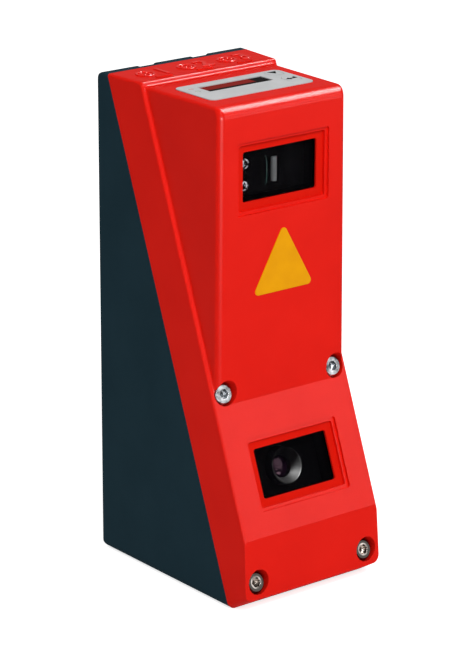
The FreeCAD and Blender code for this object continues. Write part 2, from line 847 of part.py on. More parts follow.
def window_tools(name, frame, height, face):
    """Stepped recess, opening and glass rebate of a window whose face lies at a level of its frame."""
    centre = ("0", height)
    out = f"({face}) + cut_over"
    back = f"({face}) - cover_wall - cut_over"
    view = ("window_width", "window_height")
    rim = [f"{side} + 2 * window_margin" for side in view]
    recess = [f"{side} + 2 * (window_margin - window_step)" for side in view]
    rebate = [f"{side} + 2 * (glass_lap + fit_gap)" for side in view]
    return [
        slab(f"{name}_rim", frame, centre, rim, (f"({face}) - window_step_depth", out), "window_round"),
        slab(f"{name}_recess", frame, centre, recess, (f"({face}) - window_recess", out), "window_round"),
        slab(f"{name}_opening", frame, centre, view, (back, out), "window_round"),
        slab(f"{name}_rebate", frame, centre, rebate, (back, f"({face}) - glass_setback"), "window_round"),
    ]


def front_cover():
    """Moulded cover with windows, panel seat, key openings and screw bores."""
    tools = [cover_room()]
    tools += window_tools("laser", "front", "laser_height", "-block_y")
    tools += window_tools("camera", "pull", "camera_s", "skirt_depth")
    seat = ("panel_width + 2 * fit_gap", "panel_depth + 2 * fit_gap")
    above = "block_top + cut_over"
    below = "ceiling_z - cut_over"
    tools.append(slab("panel_seat_cut", "level", ("0", "panel_y"), seat, ("seat_z", above), "panel_round"))
    view = ("display_width - 2 * display_ledge", "display_depth - 2 * display_ledge")
    tools.append(slab("display_opening", "level", ("display_x", "display_y"), view, (below, above)))
    for index, spot in enumerate(KEYS.values()):
        size = [f"{side} + 2 * (key_flange + key_room)" for side in ("key_width", "key_depth")]
        tools.append(slab(f"key_opening_{index}", "level", spot, size, (below, above)))
    for index, spot in enumerate(LAMPS):
        tools.append(rod(f"lamp_hole_{index}", "level", spot, (below, above), "lamp_radius + fit_gap"))
    bores = [(spot, UPPER_SEAT) for spot in UPPER_SCREWS] + [(spot, LOWER_SEAT) for spot in LOWER_SCREWS]
    for index, (spot, level) in enumerate(bores):
        tools.append(rod(f"head_bore_{index}", "pull", spot, (level, "depth"), "screw_bore"))
        shank = ("-cut_over", level)
        tools.append(rod(f"shank_bore_{index}", "pull", spot, shank, "screw_radius + shank_gap"))
    for index, spot in enumerate(BOARD_POSTS):
        span = ("board_z - cut_over", "board_z - board_thick + small_screw_length + tap_spare")
        tools.append(rod(f"post_hole_{index}", "level", spot, span, "small_screw_radius + thread_gap"))
    keep("front_cover", cut("front_cover", cover_shell(), tools))


# Windows
def window_pieces(name, frame, height, face, depth):
    """Glass pane and the black retainer tunnel behind it."""
    centre = ("0", height)
    front = f"({face}) - glass_setback"
    back = f"{front} - glass_thick"
    wall = f"({face}) - cover_wall"
    out = f"{wall} + cut_over"
    view = ("window_width", "window_height")
    pane = [f"{side} + 2 * glass_lap" for side in view]
    rim = [f"{side} + 2 * (glass_lap + retainer_rim)" for side in view]
    seat = [f"{side} + 2 * (glass_lap + fit_gap)" for side in view]
    keep(f"{name}_window", slab(f"{name}_window", frame, centre, pane, (back, front), "window_round"))
    retainer = f"{name}_window_retainer"
    outside = slab(f"{retainer}_outside", frame, centre, rim, (f"{wall} - {depth}", wall), "window_round")
    pocket = slab(f"{retainer}_pocket", frame, centre, seat, (back, out))
    tunnel = slab(f"{retainer}_tunnel", frame, centre, view, (f"{wall} - {depth} - cut_over", out))
    keep(retainer, cut(retainer, outside, [pocket, tunnel]))


# Plain triangular plate on the block's front
def triangle_plate():
    """Thin three-cornered plate with rounded corners."""
    body = doc.addObject("PartDesign::Body", "triangle_plate")
    pad = body.newObject("PartDesign::Pad", "triangle_plate_pad")
    points = [("-plate_side / 2", "0"), ("plate_side / 2", "0"), ("0", "plate_height")]
    pad.Profile = outline(body, "XY_Plane", points)
    bind(pad, Length="plate_thick")
    bind(body, Placement=place("front", "0", "plate_foot", "-block_y"))
    round_body(body, lambda edge: runs_along(edge, Vector(0, 0, 1)), "plate_round")
    keep("triangle_plate", body)


# Display panel
def display_panel():
    """Panel foil in its seat, the display window, the light pipes and the two keys."""
    span = ("seat_z", "panel_z")
    through = ("seat_z - cut_over", "panel_z + cut_over")
    size = ("panel_width", "panel_depth")
    blank = slab("panel_blank", "level", ("0", "panel_y"), size, span, "panel_round")
    view = ("display_width", "display_depth")
    tools = [slab("panel_view", "level", ("display_x", "display_y"), view, through)]
    for index, spot in enumerate(KEYS.values()):
        size = [f"{side} + 2 * key_gap" for side in ("key_width", "key_depth")]
        tools.append(slab(f"panel_key_{index}", "level", spot, size, through, "key_round + key_gap"))
    for index, spot in enumerate(LAMPS):
        tools.append(rod(f"panel_lamp_{index}", "level", spot, through, "lamp_radius + fit_gap"))
    keep("display_panel", cut("display_panel", blank, tools))
    sunk = ("seat_z", "panel_z - display_sink")
    keep("display_window", slab("display_window", "level", ("display_x", "display_y"), view, sunk))
    pipes = [
        rod(f"light_pipe_{index}", "level", spot, ("board_z + lamp_chip_height", "panel_z"), "lamp_radius")
        for index, spot in enumerate(LAMPS)
    ]
    keep("light_pipes", group("light_pipes", pipes))
    for name, spot in KEYS.items():
        under = "key_flange_z - key_flange_thick"
        pad = ("key_width", "key_depth")
        cap = slab(f"{name}_cap", "level", spot, pad, (under, "panel_z"), "key_round")
        wide = [f"{side} + 2 * key_flange" for side in pad]
        flange = slab(f"{name}_flange", "level", spot, wide, (under, "key_flange_z"))
        stem = rod(f"{name}_stem", "level", spot, ("key_stem_z", "key_flange_z"), "key_stem_radius")
        keep(name, join(name, [cap, flange, stem]))


def display_board():
    """Circuit board under the panel with its module, switches, lamps and screws."""
    top, bottom = "board_z", "board_z - board_thick"
    size = ("board_width", "board_depth")
    blank = slab("display_board_blank", "level", ("0", "panel_y"), size, (bottom, top))
    through = (f"{bottom} - cut_over", f"{top} + cut_over")
    holes = [
        rod(f"display_board_hole_{index}", "level", spot, through, "small_screw_radius + shank_gap")
        for index, spot in enumerate(BOARD_POSTS)
    ]
    keep("display_board", cut("display_board", blank, holes))
    module = [f"{side} + 2 * module_lap" for side in ("display_width", "display_depth")]
    tall = (top, f"{top} + module_height")
    keep("display_module", slab("display_module", "level", ("display_x", "display_y"), module, tall))
    switch, tall = ("switch_side", "switch_side"), (top, f"{top} + switch_height")
    switches = [
        slab(f"key_switch_{index}", "level", spot, switch, tall)
        for index, spot in enumerate(KEYS.values())
    ]
    keep("key_switches", group("key_switches", switches))
    chip, tall = ("lamp_chip", "lamp_chip"), (top, f"{top} + lamp_chip_height")
    lamps = [slab(f"status_lamp_{index}", "level", spot, chip, tall) for index, spot in enumerate(LAMPS)]
    keep("status_lamps", group("status_lamps", lamps))
    plain_screws("display_board_screws", "level", BOARD_POSTS, bottom, "small")


# Chassis
def chassis():
    """Plate behind the parting plane that carries the laser, the camera and the main board."""
    centre = ("0", "chassis_foot + chassis_length / 2")
    size = ("chassis_width", "chassis_length")
    plate = slab("chassis_blank", "pull", centre, size, ("chassis_back_n", "chassis_n"))
    through = ("chassis_back_n - cut_over", "chassis_n + cut_over")
    tools = [rod("chassis_eye", "pull", ("0", "camera_s"), through, "lens_radius + lens_clearance")]
    for index, spot in enumerate(LEDGES + CARRIER_SCREWS):
        tools.append(rod(f"chassis_hole_{index}", "pull", spot, through, "mid_screw_radius + shank_gap"))
    keep("chassis_plate", cut("chassis_plate", plate, tools))
    head = ("mid_head_radius", "mid_head_height", "thread_gap")
    shank = ("mid_screw_radius", "mid_screw_length")
    socket = ("mid_screw_radius", "mid_head_height / 2")
    screw_set("chassis_screws", "pull", LEDGES, "chassis_n", head, shank, socket)


# Laser
def laser():
    """Black carrier block with the laser barrel, its lens and its driver board."""
    foot, roof = "laser_height - carrier_under", "laser_height + carrier_over"
    points = [
        ("carrier_y", foot),
        ("carrier_y", roof),
        (behind_seam(roof, "chassis_set"), roof),
        (behind_seam(foot, "chassis_set"), foot),
    ]
    block = prism("carrier_block", points, "carrier_width")
    axis = ("0", "laser_height")
    barrel_front = "-carrier_y - barrel_inset"
    barrel_back = f"{barrel_front} - barrel_length"
    board_back = f"{barrel_back} - driver_thick"
    tools = [rod("carrier_bore", "front", axis, (board_back, "depth"), "barrel_radius + thread_gap")]
    for index, spot in enumerate(HOLDER_SCREWS):
        span = ("-carrier_y - small_screw_length", "depth")
        tools.append(rod(f"carrier_tap_{index}", "front", spot, span, "small_screw_radius + thread_gap"))
    for index, spot in enumerate(CARRIER_SCREWS):
        span = ("chassis_n - cut_over", "mid_screw_length")
        tools.append(rod(f"carrier_foot_tap_{index}", "pull", spot, span, "mid_screw_radius + thread_gap"))
    keep("laser_carrier", cut("laser_carrier", block, tools))
    barrel = rod("laser_barrel_blank", "front", axis, (barrel_back, barrel_front), "barrel_radius")
    bore = (f"{barrel_front} - barrel_length / 2", "depth")
    hollow = rod("laser_barrel_hollow", "front", axis, bore, "barrel_bore")
    keep("laser_barrel", cut("laser_barrel", barrel, [hollow]))
    lens = (f"{barrel_front} - collimator_thick", barrel_front)
    keep("collimator_lens", rod("collimator_lens", "front", axis, lens, "barrel_bore - thread_gap"))
    board = (board_back, barrel_back)
    keep("laser_driver_board", rod("laser_driver_board", "front", axis, board, "barrel_radius"))
    plain_screws("carrier_screws", "pull", CARRIER_SCREWS, "chassis_back_n", "mid")


def line_lens():
    """Upright glass rod that spreads the beam into a line, in its screwed-on holder."""
    middle, size = ("holder_x", "laser_height"), ("holder_width", "holder_height")
    blank = slab("line_lens_holder_blank", "front", middle, size, ("-carrier_y", HOLDER_FACE))
    spot = ("0", f"-({HOLDER_FACE})")
    span = ("laser_height - rod_length / 2", "laser_height + rod_length / 2")
    through = ("-carrier_y - cut_over", "depth")
    tools = [
        rod("line_lens_cradle", "level", spot, span, "rod_radius + thread_gap"),
        slab("beam_opening", "front", ("0", "laser_height"), ("beam_slot", "rod_length / 2"), through),
    ]
    for index, centre in enumerate(HOLDER_SCREWS):
        tools.append(rod(f"holder_hole_{index}", "front", centre, through, "small_screw_radius + shank_gap"))
    keep("line_lens_holder", cut("line_lens_holder", blank, tools))
    keep("line_lens", rod("line_lens", "level", spot, span, "rod_radius"))
    head = ("holder_head_radius", "holder_head_height", "fit_gap")
    shank = ("small_screw_radius", "small_screw_length")
    socket = ("holder_socket", "holder_head_height / 2")
    screw_set("line_lens_screws", "front", HOLDER_SCREWS, HOLDER_FACE, head, shank, socket)


# Camera
DOME_TURNS = range(0, 91, 15)


def camera():
    """Camera block with its lens, and the sensor board behind the chassis."""
    axis = ("0", "camera_s")
    front = "chassis_n + camera_block_depth"
    size = ("camera_block_width", "camera_block_height")
    block = slab("camera_block_blank", "pull", axis, size, ("chassis_n", front))
    bore = rod("camera_block_bore", "pull", axis, ("-depth", "depth"), "lens_radius + thread_gap")
    keep("camera_block", cut("camera_block", block, [bore]))
    tip, tail = "lens_front_n", "lens_front_n - lens_length"
    glass = "lens_front_n - lens_glass_drop"
    barrel = [
        ("lens_radius", tail),
        ("lens_radius", tip),
        ("lens_radius - lens_lip", tip),
        ("lens_glass_radius", f"{tip} - lens_cone_depth"),
        ("lens_glass_radius", tail),
    ]
    keep("lens_barrel", turned("lens_barrel", "pull", axis, barrel))
    rim = f"{glass} - lens_glass_thick"
    edge = "lens_glass_radius - thread_gap"
    dome = [("0", rim), (edge, rim)]
    dome += [(f"({edge}) * cos({turn})", f"{glass} - lens_dome * (1 - sin({turn}))") for turn in DOME_TURNS]
    keep("front_lens", turned("front_lens", "pull", axis, dome))
    mount = slab("sensor_mount_blank", "pull", axis, ("sensor_mount_width", "sensor_mount_width"),
                 ("sensor_n", "chassis_back_n"))
    room = "sensor_mount_width - 2 * sensor_mount_wall"
    hollow = slab("sensor_mount_hollow", "pull", axis, (room, room), ("sensor_n - cut_over", "cut_over"))
    keep("sensor_mount", cut("sensor_mount", mount, [hollow]))
    keep("sensor_board", slab("sensor_board", "pull", axis, ("sensor_mount_width", "sensor_mount_width"),
                              ("sensor_n - board_thick", "sensor_n")))
    keep("image_sensor", slab("image_sensor", "pull", axis, ("sensor_chip", "sensor_chip"),
                              ("sensor_n", "sensor_n + sensor_chip_thick")))


# Main board
def main_board():
    """Processor board on spacers behind the chassis."""
    middle = ("0", "main_foot + main_length / 2")
    size = ("main_width", "main_length")
    blank = slab("main_board_blank", "pull", middle, size, ("main_back_n", "main_n"))
    through = ("main_back_n - cut_over", "main_n + cut_over")
    holes = [
        rod(f"main_board_hole_{index}", "pull", spot, through, "small_screw_radius + shank_gap")
        for index, spot in enumerate(SPACERS)
    ]
    keep("main_board", cut("main_board", blank, holes))
    through = ("main_n - cut_over", "chassis_back_n + cut_over")
    spacers = []
    for index, spot in enumerate(SPACERS):
        sleeve = rod(f"spacer_sleeve_{index}", "pull", spot, ("main_n", "chassis_back_n"), "spacer_radius")
        hole = rod(f"spacer_hole_{index}", "pull", spot, through, "small_screw_radius + thread_gap")
        spacers.append(cut(f"board_spacer_{index}", sleeve, [hole]))
    keep("board_spacers", group("board_spacers", spacers))
    plain_screws("main_board_screws", "pull", SPACERS, "main_back_n", "small")
    chip = ("main_back_n - chip_thick", "main_back_n")
    keep("processor", slab("processor", "pull", middle, ("chip_side", "chip_side"), chip))
    can = ("main_back_n - capacitor_length", "main_back_n")
    row = "main_foot + main_length - capacitor_drop"
    capacitors = [
        rod(f"board_capacitor_{index}", "pull", (f"{step} * capacitor_pitch", row), can, "capacitor_radius")
        for index, step in enumerate((-1, 0, 1))
    ]
    keep("board_capacitors", group("board_capacitors", capacitors))


def display_ribbon():
    """Flat ribbon from the display board down to the edge of the main board."""
    roof = "board_z - board_thick"
    end_y = "(foot_y + main_end_s * sin(tilt) - main_back_n * cos(tilt))"
    end_z = "(main_end_s * cos(tilt) + main_back_n * sin(tilt))"
    knee = f"{end_z} + ribbon_rise"
    points = [
        ("ribbon_front", roof),
        ("ribbon_front + ribbon_width", roof),
        ("ribbon_front + ribbon_width", knee),
        (end_y, end_z),
        (f"{end_y} - ribbon_width", f"{end_z} - ribbon_width"),
        ("ribbon_front", f"{knee} - ribbon_width"),
    ]
    ribbon = prism("display_ribbon", points, "ribbon_thick")
    bind(ribbon, Placement=place("level", "(main_width + ribbon_thick) / 2", "0", "0"))
    keep("display_ribbon", ribbon)


# Cable ports
PIN_TURNS = (45, 135, 225, 315)


def cable_ports():
    """Three round threaded ports in the rear bay, each with its insert and pins."""
    end, flange = "port_end_y", "port_flange_y + port_flange_thick"
    tail = "bay_y - port_tail"
    seals, nuts = [], []
    for index, x in enumerate(PORTS, start=1):
        axis = (x, "port_z")
        profile = [
            ("port_bore", tail),
            ("port_radius", tail),
            ("port_radius", "port_flange_y"),
            ("port_flange_radius", "port_flange_y"),
            ("port_flange_radius", flange),
            ("port_radius", flange),
            ("port_radius", f"{end} - port_bevel"),
            ("port_radius - port_bevel", end),
            ("port_bore", end),
        ]
        keep(f"port_shell_{index}", turned(f"port_shell_{index}", "rear", axis, profile))
        core = ("port_board_y", "insert_y")
        insert = f"port_insert_{index}"
        keep(insert, rod(insert, "rear", axis, core, "port_bore - thread_gap"))
        pins = []
        for turn in PIN_TURNS:
            spot = (f"{x} + pin_circle * cos({turn})", f"port_z + pin_circle * sin({turn})")
            span = ("insert_y", "insert_y + pin_length")
            pins.append(rod(f"port_{index}_pin_{turn}", "rear", spot, span, "pin_radius"))
        keep(f"port_pins_{index}", group(f"port_pins_{index}", pins))
        ring = rod(f"port_seal_ring_{index}", "rear", axis, ("bay_y", "port_flange_y"), "seal_radius")
        hole = rod(f"port_seal_hole_{index}", "rear", axis, ("0", "rear_y"), "port_radius + thread_gap")
        seals.append(cut(f"port_seal_{index}", ring, [hole]))
        span = ("bay_y - bay_wall - nut_thick", "bay_y - bay_wall")
        blank = six_sided(f"port_nut_blank_{index}", "rear", axis, span, "nut_radius")
        eye = rod(f"port_nut_eye_{index}", "rear", axis, ("0", "rear_y"), "port_radius + thread_gap")
        nuts.append(cut(f"port_nut_{index}", blank, [eye]))
    keep("port_seals", group("port_seals", seals))
    keep("port_nuts", group("port_nuts", nuts))
    back = "port_board_y - board_thick"
    size = ("port_board_width", "port_board_height")
    keep("port_board", slab("port_board", "rear", ("0", "port_z"), size, (back, "port_board_y")))
    under, over = "port_z", "port_z + flex_thick"
    strip = [
        (back, under),
        (back, over),
        (behind_seam(over, "-main_back_n"), over),
        (behind_seam(under, "-main_back_n"), under),
    ]
    keep("port_flex", prism("port_flex", strip, "flex_width"))


def build():
    """Make every sub-part."""
    rear_housing()
    front_cover()
    keep("cover_gasket", gasket_ring("cover_gasket"))
    cover_screws()
    window_pieces("laser", "front", "laser_height", "-block_y", "laser_retainer_depth")
    window_pieces("camera", "pull", "camera_s", "skirt_depth", "camera_retainer_depth")
    triangle_plate()
    display_panel()
    display_board()
    chassis()
    laser()
    line_lens()
    camera()
    main_board()
    display_ribbon()
    cable_ports()


def check():
    """Stop if any object failed or any sub-part has no valid shape."""
    doc.recompute()
    failed = [item.Name for item in doc.Objects if {"Invalid", "Error"} & set(item.State)]
    bad = [name for name, item in nodes.items() if item.Shape.isNull() or not item.Shape.isValid()]
    empty = [name for name, item in nodes.items() if not item.Shape.Solids]
    if failed or bad or empty:
        raise RuntimeError(f"failed {failed}, not valid {bad}, no solid {empty}")


def write():
    """Write each sub-part to its own file."""
    os.makedirs("parts", exist_ok=True)
    for name, item in nodes.items():
        item.Shape.exportStep(f"parts/{name}.step")
        box = item.Shape.BoundBox
        sizes = f"{box.XLength:.2f} x {box.YLength:.2f} x {box.ZLength:.2f} mm"
        print(f"{name}: {len(item.Shape.Solids)} solids, {item.Shape.Volume:.1f} mm3, {sizes}")


build()
check()
write()
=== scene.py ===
# %% [markdown]
# # Dressing a laser profile sensor
#
# The sensor is a wedge: a dark metal housing at the back, a red moulded cover
# in front, a laser window above and a camera window below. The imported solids
# already have the right shapes and places, so this lesson keeps them, gives
# each one a finish, and adds the fine pieces that are easier to make as
# meshes. Loading the frame first means nothing has to be fitted by eye.

# %% Load the frame
import json
import math

import bmesh
import bpy
from mathutils import Matrix, Vector


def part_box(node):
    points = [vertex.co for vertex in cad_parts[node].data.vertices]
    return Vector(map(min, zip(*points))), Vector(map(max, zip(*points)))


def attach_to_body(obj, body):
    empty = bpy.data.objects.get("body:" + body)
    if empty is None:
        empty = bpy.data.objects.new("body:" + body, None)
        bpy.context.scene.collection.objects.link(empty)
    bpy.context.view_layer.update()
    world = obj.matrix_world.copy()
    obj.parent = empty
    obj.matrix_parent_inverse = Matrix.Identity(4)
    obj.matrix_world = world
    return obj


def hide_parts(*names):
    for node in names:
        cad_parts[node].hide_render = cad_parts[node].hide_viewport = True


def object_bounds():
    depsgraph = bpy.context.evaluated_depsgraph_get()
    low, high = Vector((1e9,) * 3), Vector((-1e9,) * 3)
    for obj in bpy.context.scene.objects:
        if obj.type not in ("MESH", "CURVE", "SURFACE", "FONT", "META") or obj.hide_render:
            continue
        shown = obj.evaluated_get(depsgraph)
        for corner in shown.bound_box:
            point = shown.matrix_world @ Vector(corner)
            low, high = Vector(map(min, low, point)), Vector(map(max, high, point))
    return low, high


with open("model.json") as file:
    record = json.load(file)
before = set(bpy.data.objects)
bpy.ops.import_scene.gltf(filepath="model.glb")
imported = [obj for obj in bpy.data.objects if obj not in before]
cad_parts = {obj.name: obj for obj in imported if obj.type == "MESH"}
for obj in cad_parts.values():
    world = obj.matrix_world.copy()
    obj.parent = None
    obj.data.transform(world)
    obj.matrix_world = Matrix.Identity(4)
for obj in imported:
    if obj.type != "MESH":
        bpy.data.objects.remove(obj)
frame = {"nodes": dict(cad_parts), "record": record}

MM = 0.001
solids = frame["nodes"]
cad_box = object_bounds()
print(len(solids), "solids in a box of", [round(v / MM, 2) for v in cad_box[1] - cad_box[0]], "mm")

# %% [markdown]
# ## Camera
#
# A product picture like this is taken from well back with a long lens, so the
# upright edges stay nearly parallel. The eye, the viewing direction and the
# focal length come from matching known corners of the solids with the
# picture. A matrix made from three directions keeps the slight roll exactly.

# %% Camera
EYE = Vector((-571.624, -715.609, 380.996)) * MM
FOCAL_MM = 164.788
ahead = Vector((0.58999, 0.74364, -0.3145)).normalized()
right = ahead.cross(Vector((0.19371, 0.24777, 0.94926))).normalized()
above = right.cross(ahead)
long_lens = bpy.data.cameras.new("studio_camera")
long_lens.lens = FOCAL_MM
camera = bpy.data.objects.new("studio_camera", long_lens)
turn = Matrix((right, above, -ahead)).transposed()
camera.matrix_world = Matrix.Translation(EYE) @ turn.to_4x4()
bpy.context.scene.collection.objects.link(camera)
bpy.context.scene.camera = camera
bpy.context.scene.view_settings.view_transform = "Standard"
print("camera", round(EYE.length, 3), "m from the middle of the base")

# %% [markdown]
# ## White sweep
#
# The picture has a plain white ground. A floor that is only lit would turn
# grey away from the lamps, and brighter lamps would bleach the red. So the
# floor adds a little light of its own, but only towards the camera and into
# reflections: it reads as white there, still takes the shadow, and throws no
# extra light on the object.

# %% Floor
FLOOR_HALF = 4.0
FLOOR_DROP = 0.05 * MM
PAPER_GREY, PAPER_GLOW = 0.75, 0.78


def work_out(tree, operation, *values):
    """One step of arithmetic on plain numbers and sockets."""
    node = tree.nodes.new("ShaderNodeMath")
    node.operation = operation
    for socket, value in zip(node.inputs, values):
        if isinstance(value, (int, float)):
            socket.default_value = value
        else:
            tree.links.new(value, socket)
    return node.outputs[0]


def seen_directly(tree):
    """1 for camera, glossy and transmission rays, 0 for rays that only carry light."""
    path = tree.nodes.new("ShaderNodeLightPath").outputs
    either = work_out(tree, "MAXIMUM", path["Is Camera Ray"], path["Is Glossy Ray"])
    return work_out(tree, "MAXIMUM", either, path["Is Transmission Ray"])


def rescale(tree, source, low, high, start=0.0, stop=1.0):
    """Map a value from start..stop to low..high."""
    node = tree.nodes.new("ShaderNodeMapRange")
    node.inputs["From Min"].default_value = start
    node.inputs["From Max"].default_value = stop
    node.inputs["To Min"].default_value = low
    node.inputs["To Max"].default_value = high
    tree.links.new(source, node.inputs["Value"])
    return node.outputs["Result"]


signs = [(-1, -1), (1, -1), (1, 1), (-1, 1)]
corners = [(x * FLOOR_HALF, y * FLOOR_HALF, -FLOOR_DROP) for x, y in signs]
sweep = bpy.data.meshes.new("floor")
sweep.from_pydata(corners, [], [(0, 1, 2, 3)])
floor = bpy.data.objects.new("floor", sweep)
bpy.context.scene.collection.objects.link(floor)

paper = bpy.data.materials.new("white_paper")
paper.use_nodes = True
paper_skin = paper.node_tree.nodes["Principled BSDF"]
paper_skin.inputs["Base Color"].default_value = (PAPER_GREY, PAPER_GREY, PAPER_GREY, 1)
paper_skin.inputs["Roughness"].default_value = 0.9
paper_skin.inputs["Specular IOR Level"].default_value = 0.0
paper_skin.inputs["Emission Color"].default_value = (1, 1, 1, 1)
glow = rescale(paper.node_tree, seen_directly(paper.node_tree), 0.0, PAPER_GLOW)
paper.node_tree.links.new(glow, paper_skin.inputs["Emission Strength"])
sweep.materials.append(paper)
print("floor", 2 * FLOOR_HALF, "m square")

# %% [markdown]
# ## Studio light
#
# The room gives a plain even light, and shows white to the camera and in
# reflections. One soft box high in front on the left models the wedge, and a
# weak one overhead lifts the top. Together they light a surface that faces
# them at about its own colour. Four more boxes only make gleams: they are
# hidden from matt light, so they draw the white line along the brow, the sheen
# on the slanted face, the soft line down the left edge and the sheen high on
# the upright face without making anything paler. The last two are wide and
# stand just above the floor, because the camera looks down, and an upright
# surface throws back to it what comes from low down. In a studio, black flags
# keep such a gleam off the parts that it would bleach. Here, light linking
# does that: the gleams reach the cover, the housing and the lens, but not the
# screws and the window panes.

# %% Room light
ROOM_LEVEL = 0.31
room = bpy.data.worlds.new("studio_room")
bpy.context.scene.world = room
room.use_nodes = True
room_tree = room.node_tree
backdrop = room_tree.nodes["Background"]
backdrop.inputs["Color"].default_value = (1, 1, 1, 1)
level = rescale(room_tree, seen_directly(room_tree), ROOM_LEVEL, 1.0)
room_tree.links.new(level, backdrop.inputs["Strength"])

# %% Soft boxes
AIM = Vector((0, 0, 80)) * MM


def soft_box(name, direction, distance, size, power):
    """A rectangular lamp that faces the sensor from a direction."""
    lamp = bpy.data.lights.new(name, "AREA")
    lamp.shape = "RECTANGLE"
    lamp.size, lamp.size_y = size
    lamp.energy = power
    holder = bpy.data.objects.new(name, lamp)
    out = Vector(direction).normalized()
    holder.location = AIM + out * distance
    holder.rotation_euler = (-out).to_track_quat("-Z", "Y").to_euler()
    bpy.context.scene.collection.objects.link(holder)
    return holder


soft_box("key_light", (-0.20, -0.73, 0.66), 1.3, (0.4, 0.4), 10.4)
soft_box("top_light", (0.1, 0.3, 0.95), 1.3, (0.6, 0.6), 2.5)
gleams = [
    soft_box("brow_gleam", (0.59, -0.22, 0.78), 1.3, (0.7, 0.6), 140.0),
    soft_box("slant_gleam", (0.59, -0.76, 0.30), 1.5, (0.8, 0.5), 11.5),
    soft_box("edge_gleam", (-0.46, -0.888, -0.02), 1.3, (0.9, 0.09), 60.0),
    soft_box("front_gleam", (0.62, -0.78, -0.02), 1.3, (0.9, 0.09), 6.0),
]
gleaming = bpy.data.collections.new("gleaming")
for node in ("front_cover", "rear_housing", "front_lens"):
    gleaming.objects.link(solids[node])
for gleam in gleams:
    gleam.visible_diffuse = False
    gleam.light_linking.receiver_collection = gleaming
print(len(bpy.data.lights), "soft boxes,", len(gleams), "of them for gleams")

# %% [markdown]
# ## Finishes
#
# Each finish starts from the principled shader. What differs over a surface,
# such as mottling, grain and roughness, comes from noise in object space, in
# real millimetres, so the same finish fits large and small pieces alike. What
# is the same all over is set on the shader directly.

# %% Finish helpers
NOISE_LOW, NOISE_HIGH = 0.3, 0.7
BEVEL_SAMPLES = 6


def start_finish(name, **settings):
    """A new material; each setting names a shader input, with _ for a space."""
    finish = bpy.data.materials.new(name)
    finish.use_nodes = True
    skin = finish.node_tree.nodes["Principled BSDF"]
    for word, value in settings.items():
        skin.inputs[word.replace("_", " ")].default_value = value
    return finish


def attach(finish, source, socket):
    """Link a value to one of the shader's inputs."""
    skin = finish.node_tree.nodes["Principled BSDF"]
    finish.node_tree.links.new(source, skin.inputs[socket])


def grain(finish, per_mm, detail=2.0, stretch=(1, 1, 1)):
    """Noise with about per_mm specks in a millimetre, drawn out where stretch is below 1."""
    tree = finish.node_tree
    place = tree.nodes.new("ShaderNodeTexCoord")
    pull = tree.nodes.new("ShaderNodeMapping")
    pull.inputs["Scale"].default_value = stretch
    noise = tree.nodes.new("ShaderNodeTexNoise")
    noise.inputs["Scale"].default_value = per_mm / MM
    noise.inputs["Detail"].default_value = detail
    tree.links.new(place.outputs["Object"], pull.inputs["Vector"])
    tree.links.new(pull.outputs["Vector"], noise.inputs["Vector"])
    return noise.outputs["Fac"]


def mottle(finish, source, dark, light, start=NOISE_LOW, stop=NOISE_HIGH):
    """Base colour that wanders between two shades."""
    ramp = finish.node_tree.nodes.new("ShaderNodeValToRGB")
    ramp.color_ramp.elements[0].position = start
    ramp.color_ramp.elements[0].color = (*dark, 1)
    ramp.color_ramp.elements[1].position = stop
    ramp.color_ramp.elements[1].color = (*light, 1)
    finish.node_tree.links.new(source, ramp.inputs["Fac"])
    attach(finish, ramp.outputs["Color"], "Base Color")


def gloss(finish, source, low, high):
    """Roughness that wanders between two values."""
    rough = rescale(finish.node_tree, source, low, high, NOISE_LOW, NOISE_HIGH)
    attach(finish, rough, "Roughness")


def relief(finish, source, height_mm, strength=0.3, soft_edge_mm=0.0):
    """Fine surface relief, with sharp edges rounded by soft_edge_mm."""
    tree = finish.node_tree
    bump = tree.nodes.new("ShaderNodeBump")
    bump.inputs["Strength"].default_value = strength
    bump.inputs["Distance"].default_value = height_mm * MM
    tree.links.new(source, bump.inputs["Height"])
    if soft_edge_mm:
        edge = tree.nodes.new("ShaderNodeBevel")
        edge.samples = BEVEL_SAMPLES
        edge.inputs["Radius"].default_value = soft_edge_mm * MM
        tree.links.new(edge.outputs["Normal"], bump.inputs["Normal"])
    attach(finish, bump.outputs["Normal"], "Normal")


finishes = {}

# %% [markdown]
# ### Red cover
#
# The cover is satin plastic in signal red. The white room would veil it with
# grey, so the shader's own reflection is off, and a weak, smoother coat gives
# the clear highlight on rounded edges. The mould leaves a very fine grain.

# %% Red cover
DEEP_RED, PALE_RED = (0.78, 0.0095, 0.0040), (0.84, 0.0115, 0.0050)
red = start_finish("cover_red", Specular_IOR_Level=0.0, Coat_Weight=0.10, Coat_Roughness=0.26)
mottle(red, grain(red, 0.04, 3), DEEP_RED, PALE_RED)
gloss(red, grain(red, 0.5, 3), 0.30, 0.36)
relief(red, grain(red, 3.0), 0.02, 0.12, 0.10)
finishes["cover_red"] = red

# %% [markdown]
# ### Housing coat
#
# The housing is cast metal under a matt powder coat. Powder melts into tiny
# rounded pimples, so it gets a stronger, finer relief than the plastic, and a
# high roughness that spreads every reflection.

# %% Housing coat
coat = start_finish("housing_coat", Specular_IOR_Level=0.0, Coat_Weight=0.06, Coat_Roughness=0.5)
mottle(coat, grain(coat, 0.06, 4), (0.0110, 0.0315, 0.0440), (0.0135, 0.0365, 0.0505))
gloss(coat, grain(coat, 0.8, 3), 0.52, 0.66)
relief(coat, grain(coat, 2.2, 3), 0.04, 0.2, 0.25)
finishes["housing_coat"] = coat

# %% [markdown]
# ### Glass
#
# Both window panes are coated so that they hardly reflect, which is why they
# look black. Here a pane is mostly see-through, with a weak reflection, and
# the dark pieces behind it do the rest. The lens has a purple coating, and the
# glass rod that spreads the beam is ground, so it looks milky.

